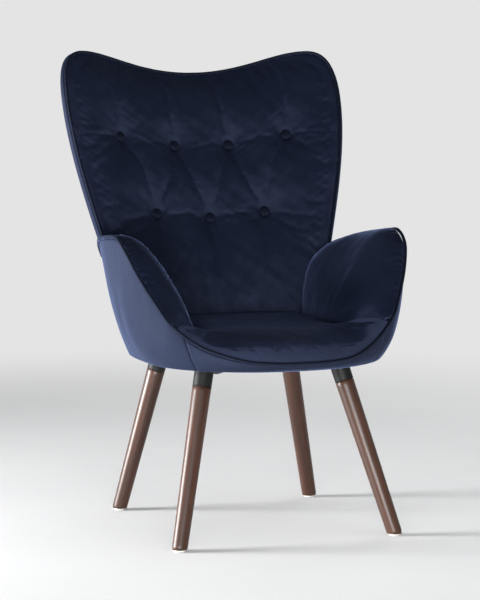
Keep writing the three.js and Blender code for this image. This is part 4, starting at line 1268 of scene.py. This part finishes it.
def make_seat_pad():
    shares = np.concatenate([np.linspace(0, 0.9, 70), np.linspace(0.9, 1, 30)[1:]])
    top = [seat_ring(s, SEAT_SAG * (1 - s**6)) for s in shares]
    lower = [seat_ring(s * SEAT_FOOT_SHARE, 0) for s in shares[::-1]]
    for ring in lower:
        ring[:, 2] = FOAM_FOOT
    piece = stack("seat_pad", top + lower, VELVET_SEAT_LIT)
    rest = points_of(piece)
    coarse = np.linspace(0, 1, 26)
    sim_top = [seat_ring(s, SEAT_SAG * (1 - s**6)) for s in coarse]
    sim_low = [seat_ring(s, SIM_THICKNESS) for s in coarse[::-1]]
    sim = stack("seat_sim", sim_top + sim_low, VELVET)
    subdivide_sim(sim)
    size = sum(len(ring) for ring in top)
    shift = np.zeros_like(rest)
    shift[:size] = cloth_shift(rest[:size], sim, held_seat, cap=5 * MM, voxel=7 * MM, slack=0.002)
    share = np.concatenate([np.full(len(ring), s) for ring, s in zip(top, shares)])
    relief = np.zeros(len(rest))
    inner = 1 - smoothstep(share, 0.93, 1)
    face = rest[:size]
    relief[:size] = inner * MM * (0.9 * waves(face, 18, 51) + 0.3 * waves(face, 60, 52)
                                  + 0.12 * waves(face, 160, 53))
    set_points(piece, rest + shift + np.stack([0 * relief, 0 * relief, relief], axis=1))
    return finished(piece, "velvet", "seat_cover", "seat_foam", fill=0.7)


# ---- Legs and underframe ----------------------------------------------------------------

LEG_TOP_RADIUS = 21 * MM
LEG_FOOT_RADIUS = 16.5 * MM
FERRULE_LENGTH = 50 * MM
SPIGOT_RADIUS = 17 * MM
GLIDE_THICKNESS = 4 * MM
PLATE_THICKNESS = 4 * MM
LEG_NAMES = ("front_left", "front_right", "rear_left", "rear_right")


def leg_axis(name):
    """The leg's foot on the floor, its direction, its length, and its radius along it."""
    leg = points_of(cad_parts[f"leg_{name}"])
    low = leg[leg[:, 2] < leg[:, 2].min() + 1 * MM].mean(axis=0)
    stud = points_of(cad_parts[f"leg_stud_{name}"])
    top = stud[stud[:, 2] > stud[:, 2].max() - 1 * MM].mean(axis=0)
    direction = unit(top - low)
    foot = low - direction * (low[2] / direction[2])
    length = (top[2] - foot[2]) / direction[2]
    return foot, direction, length, lambda y: lerp(LEG_FOOT_RADIUS, LEG_TOP_RADIUS, y / length)


def cut_level(piece, height):
    """Squashes what lies beyond a level onto it, along the piece's axis, so that a leaning end
    is level. Near the floor that is what lies below it, and elsewhere what lies above it."""
    points = points_of(piece)
    matrix = np.array(piece.matrix_world)
    world = points @ matrix[:3, :3].T + matrix[:3, 3]
    axis = matrix[:3, 2]
    if height < BASE / 2:
        short = np.maximum(height - world[:, 2], 0)
        world += axis * (short / axis[2])[:, None]
    else:
        over = np.maximum(world[:, 2] - height, 0)
        world -= axis * (over / axis[2])[:, None]
    set_points(piece, (world - matrix[:3, 3]) @ matrix[:3, :3])


def make_leg(name):
    foot, direction, length, radius = leg_axis(name)
    shoulder = length - FERRULE_LENGTH
    profile = [(0, -8 * MM), (radius(0) - 2 * MM, -8 * MM), (radius(0) - 0.5 * MM, 5 * MM),
               (radius(7 * MM), 7.5 * MM)]
    profile += [(radius(y), y) for y in np.linspace(12 * MM, shoulder - 1.5 * MM, 40)]
    spigot_end = length - 16 * MM
    profile += [(radius(shoulder) - 0.6 * MM, shoulder - 0.4 * MM),
                (radius(shoulder) - 2 * MM, shoulder), (SPIGOT_RADIUS, shoulder + 0.1 * MM),
                (SPIGOT_RADIUS, spigot_end), (0, spigot_end)]
    piece = stack(f"turned_leg_{name}", lathe_rings(profile, 64), WALNUT)
    piece.matrix_world = standing(foot, direction)
    cut_level(piece, GLIDE_THICKNESS + 0.3 * MM)
    finished(piece, "walnut", f"leg_{name}")


def make_ferrule(name):
    """The socket: a tapered dark ferrule with a rolled lip, welded to its plate."""
    foot, direction, length, radius = leg_axis(name)
    shoulder = length - FERRULE_LENGTH
    bore = SPIGOT_RADIUS + 0.35 * MM
    start = shoulder + 0.4 * MM
    lip = [(bore, start + 0.4 * MM), (bore + 0.4 * MM, start), (radius(start) - 0.3 * MM, start),
           (radius(start) + 0.25 * MM, start + 0.6 * MM),
           (radius(start) + 0.25 * MM, start + 2.2 * MM), (radius(start), start + 2.9 * MM)]
    sides = [(radius(y), y) for y in np.linspace(start + 4 * MM, length - 9 * MM, 12)]
    bead = [(radius(length) + 0.3 * MM, length - 7 * MM),
            (radius(length) + 1.8 * MM, length - 4 * MM),
            (radius(length) + 2.6 * MM, length + 10 * MM), (bore, length + 10 * MM)]
    piece = closed_loop(f"ferrule_{name}", lathe_rings(lip + sides + bead, 64), GUNMETAL)
    piece.matrix_world = standing(foot, direction)
    cut_level(piece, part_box(f"leg_socket_{name}")[1].z - PLATE_THICKNESS + 0.2 * MM)
    return piece


def closed_loop(name, rings, material):
    """A ring-shaped body: rings joined in a loop."""
    sides = len(rings[0])
    faces = []
    for i in range(len(rings)):
        k = (i + 1) % len(rings)
        for j in range(sides):
            m = (j + 1) % sides
            faces.append((i * sides + j, i * sides + m, k * sides + m, k * sides + j))
    return mesh_piece(name, np.concatenate(rings), faces, material)


def rounded_plate(name, low, high, corner, material):
    """A flat plate with rounded corners and softened edges."""
    edge = 0.8 * MM
    (x0, y0), (x1, y1) = low[:2], high[:2]
    outline = []
    for cx, cy, start in ((x1, y1, 0), (x0, y1, 90), (x0, y0, 180), (x1, y0, 270)):
        sx, sy = (1 if cx == x1 else -1), (1 if cy == y1 else -1)
        for step in np.radians(np.linspace(start, start + 90, 9)):
            outline.append((cx - sx * corner + corner * math.cos(step),
                            cy - sy * corner + corner * math.sin(step)))
    outline = np.array(outline)
    centre = outline.mean(axis=0)
    normals = edge_normals(outline)
    rings = [np.array([[*centre, low[2]]])]
    for inset, z in ((edge, low[2]), (0.3 * edge, low[2] + 0.3 * edge), (0, low[2] + edge),
                     (0, high[2] - edge), (0.3 * edge, high[2] - 0.3 * edge), (edge, high[2])):
        ring = outline - normals * inset
        rings.append(np.column_stack([ring, np.full(len(ring), z)]))
    rings.append(np.array([[*centre, high[2]]]))
    return stack(name, rings, material)


def make_socket(name):
    ferrule = make_ferrule(name)
    low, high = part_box(f"leg_socket_{name}")
    plate = rounded_plate(f"socket_plate_{name}", (low.x, low.y, high.z - PLATE_THICKNESS), high,
                          9 * MM, GUNMETAL)
    finished(plate, "gunmetal", f"leg_socket_{name}")
    finished(ferrule, "gunmetal", f"leg_socket_{name}")


def make_glide(name):
    low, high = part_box(f"leg_glide_{name}")
    radius = (high.x - low.x) / 2
    profile = [(0, 0), (radius - 1.6 * MM, 0), (radius - 0.5 * MM, 0.3 * MM), (radius, 1.2 * MM),
               (radius, GLIDE_THICKNESS - 0.5 * MM), (radius - 0.5 * MM, GLIDE_THICKNESS),
               (1.6 * MM, GLIDE_THICKNESS), (1.6 * MM, high.z), (0, high.z)]
    piece = stack(f"glide_{name}", lathe_rings(profile, 48), NYLON)
    piece.matrix_world = Matrix.Translation(((low.x + high.x) / 2, (low.y + high.y) / 2, 0))
    finished(piece, "glide_plastic", f"leg_glide_{name}")


def dress_frame_nodes():
    """Materials, and softened edges, for the frame's own rigid pieces that stay."""
    finishes = {
        "back_frame": PLYWOOD, "seat_board": PLYWOOD, "arm_frame": PLYWOOD, "seat_rail": TIMBER,
        "dust_cover": LINING, "tuft_anchor": ZINC, "leg_stud": ZINC, "frame_bolt": ZINC,
        "cross_bar": BLACK_STEEL,
    }
    edges = {"cross_bar": 1.2 * MM, "frame_bolt": 0.5 * MM, "seat_rail": 1.2 * MM}
    for node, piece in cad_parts.items():
        kind = next((start for start in finishes if node.startswith(start)), None)
        if kind:
            piece.data.materials.clear()
            piece.data.materials.append(finishes[kind])
        if kind in edges:
            bevel = piece.modifiers.new("soft_edges", "BEVEL")
            bevel.width = edges[kind]
            bevel.segments = 3
            bevel.limit_method = "ANGLE"


# ---- Making the chair -------------------------------------------------------------------

make_back_pad()
for number, place in enumerate(BUTTON_PLACES, start=1):
    make_button(number, place)
make_back_cover()
make_back_welt()
make_tub_covers()
make_tub_welt()
make_arm_pad("left", -1, 61)
make_arm_pad("right", 1, 71)
make_seat_pad()
for name in LEG_NAMES:
    make_leg(name)
    make_socket(name)
    make_glide(name)
dress_frame_nodes()

# ---- Studio -----------------------------------------------------------------------------

CAMERA_DISTANCE = 5.035
CAMERA_AZIMUTH = math.radians(19.97)
CAMERA_HEIGHT = 1.023
CAMERA_PITCH = math.radians(5.94)
CAMERA_LENS = 137.2
CAMERA_SHIFT = -0.018
FLOOR_GAP = 0.2 * MM
WORLD_COLOR = (0.97, 0.985, 1, 1)
WORLD_STRENGTH = 0.47


def make_floor():
    angles = np.linspace(0, 2 * math.pi, 96, endpoint=False)
    rings = [np.zeros((1, 3))]
    for radius in (1, 2, 4, 8, 16, 40):
        rings.append(radius * np.stack([np.cos(angles), np.sin(angles), 0 * angles], 1))
    rings = [ring - (0, 0, FLOOR_GAP) for ring in rings]
    stack("floor", rings, studio_floor("studio_floor"))


def area_light(name, place, target, size, power, spread=180):
    data = bpy.data.lights.new(name, "AREA")
    data.spread = math.radians(spread)
    data.shape = "RECTANGLE"
    data.size, data.size_y = size
    data.energy = power
    light = in_scene(name, data)
    light.location = place
    light.rotation_euler = (Vector(target) - Vector(place)).to_track_quat("-Z", "Y").to_euler()


def make_world():
    """An even pale surround. The camera sees it as bright as the far floor."""
    world = bpy.data.worlds.new("studio")
    world.use_nodes = True
    nodes, links = world.node_tree.nodes, world.node_tree.links
    light = nodes["Background"]
    light.inputs["Color"].default_value = WORLD_COLOR
    light.inputs["Strength"].default_value = WORLD_STRENGTH
    seen = nodes.new("ShaderNodeBackground")
    seen.inputs["Color"].default_value = (*BACKGROUND, 1)
    mixed = nodes.new("ShaderNodeMixShader")
    links.new(nodes.new("ShaderNodeLightPath").outputs["Is Camera Ray"], mixed.inputs[0])
    links.new(light.outputs[0], mixed.inputs[1])
    links.new(seen.outputs[0], mixed.inputs[2])
    links.new(mixed.outputs[0], nodes["World Output"].inputs["Surface"])
    bpy.context.scene.world = world


def make_camera():
    data = bpy.data.cameras.new("camera")
    data.sensor_width = 36
    data.lens = CAMERA_LENS
    data.shift_x = CAMERA_SHIFT
    camera = in_scene("camera", data)
    camera.location = (
        -CAMERA_DISTANCE * math.sin(CAMERA_AZIMUTH),
        FEET_Y - CAMERA_DISTANCE * math.cos(CAMERA_AZIMUTH),
        CAMERA_HEIGHT,
    )
    camera.rotation_euler = (math.pi / 2 - CAMERA_PITCH, 0, -CAMERA_AZIMUTH)
    bpy.context.scene.camera = camera


make_floor()
make_world()
area_light("key", (-3.5, 0.9, 0.7), (-0.25, -0.05, 0.62), (1.2, 1.4), 98, spread=80)
area_light("front", (-1.6, -4.0, 0.5), (0, 0, 0.42), (2.2, 0.8), 75, spread=100)
area_light("top", (0.9, -0.9, 3.0), (0, 0, 0.4), (1.8, 1.8), 12)
area_light("rear", (2.6, 2.4, 1.8), (0, 0, 0.6), (1.5, 1.5), 22)
bpy.context.scene.view_settings.view_transform = "Standard"
make_camera()
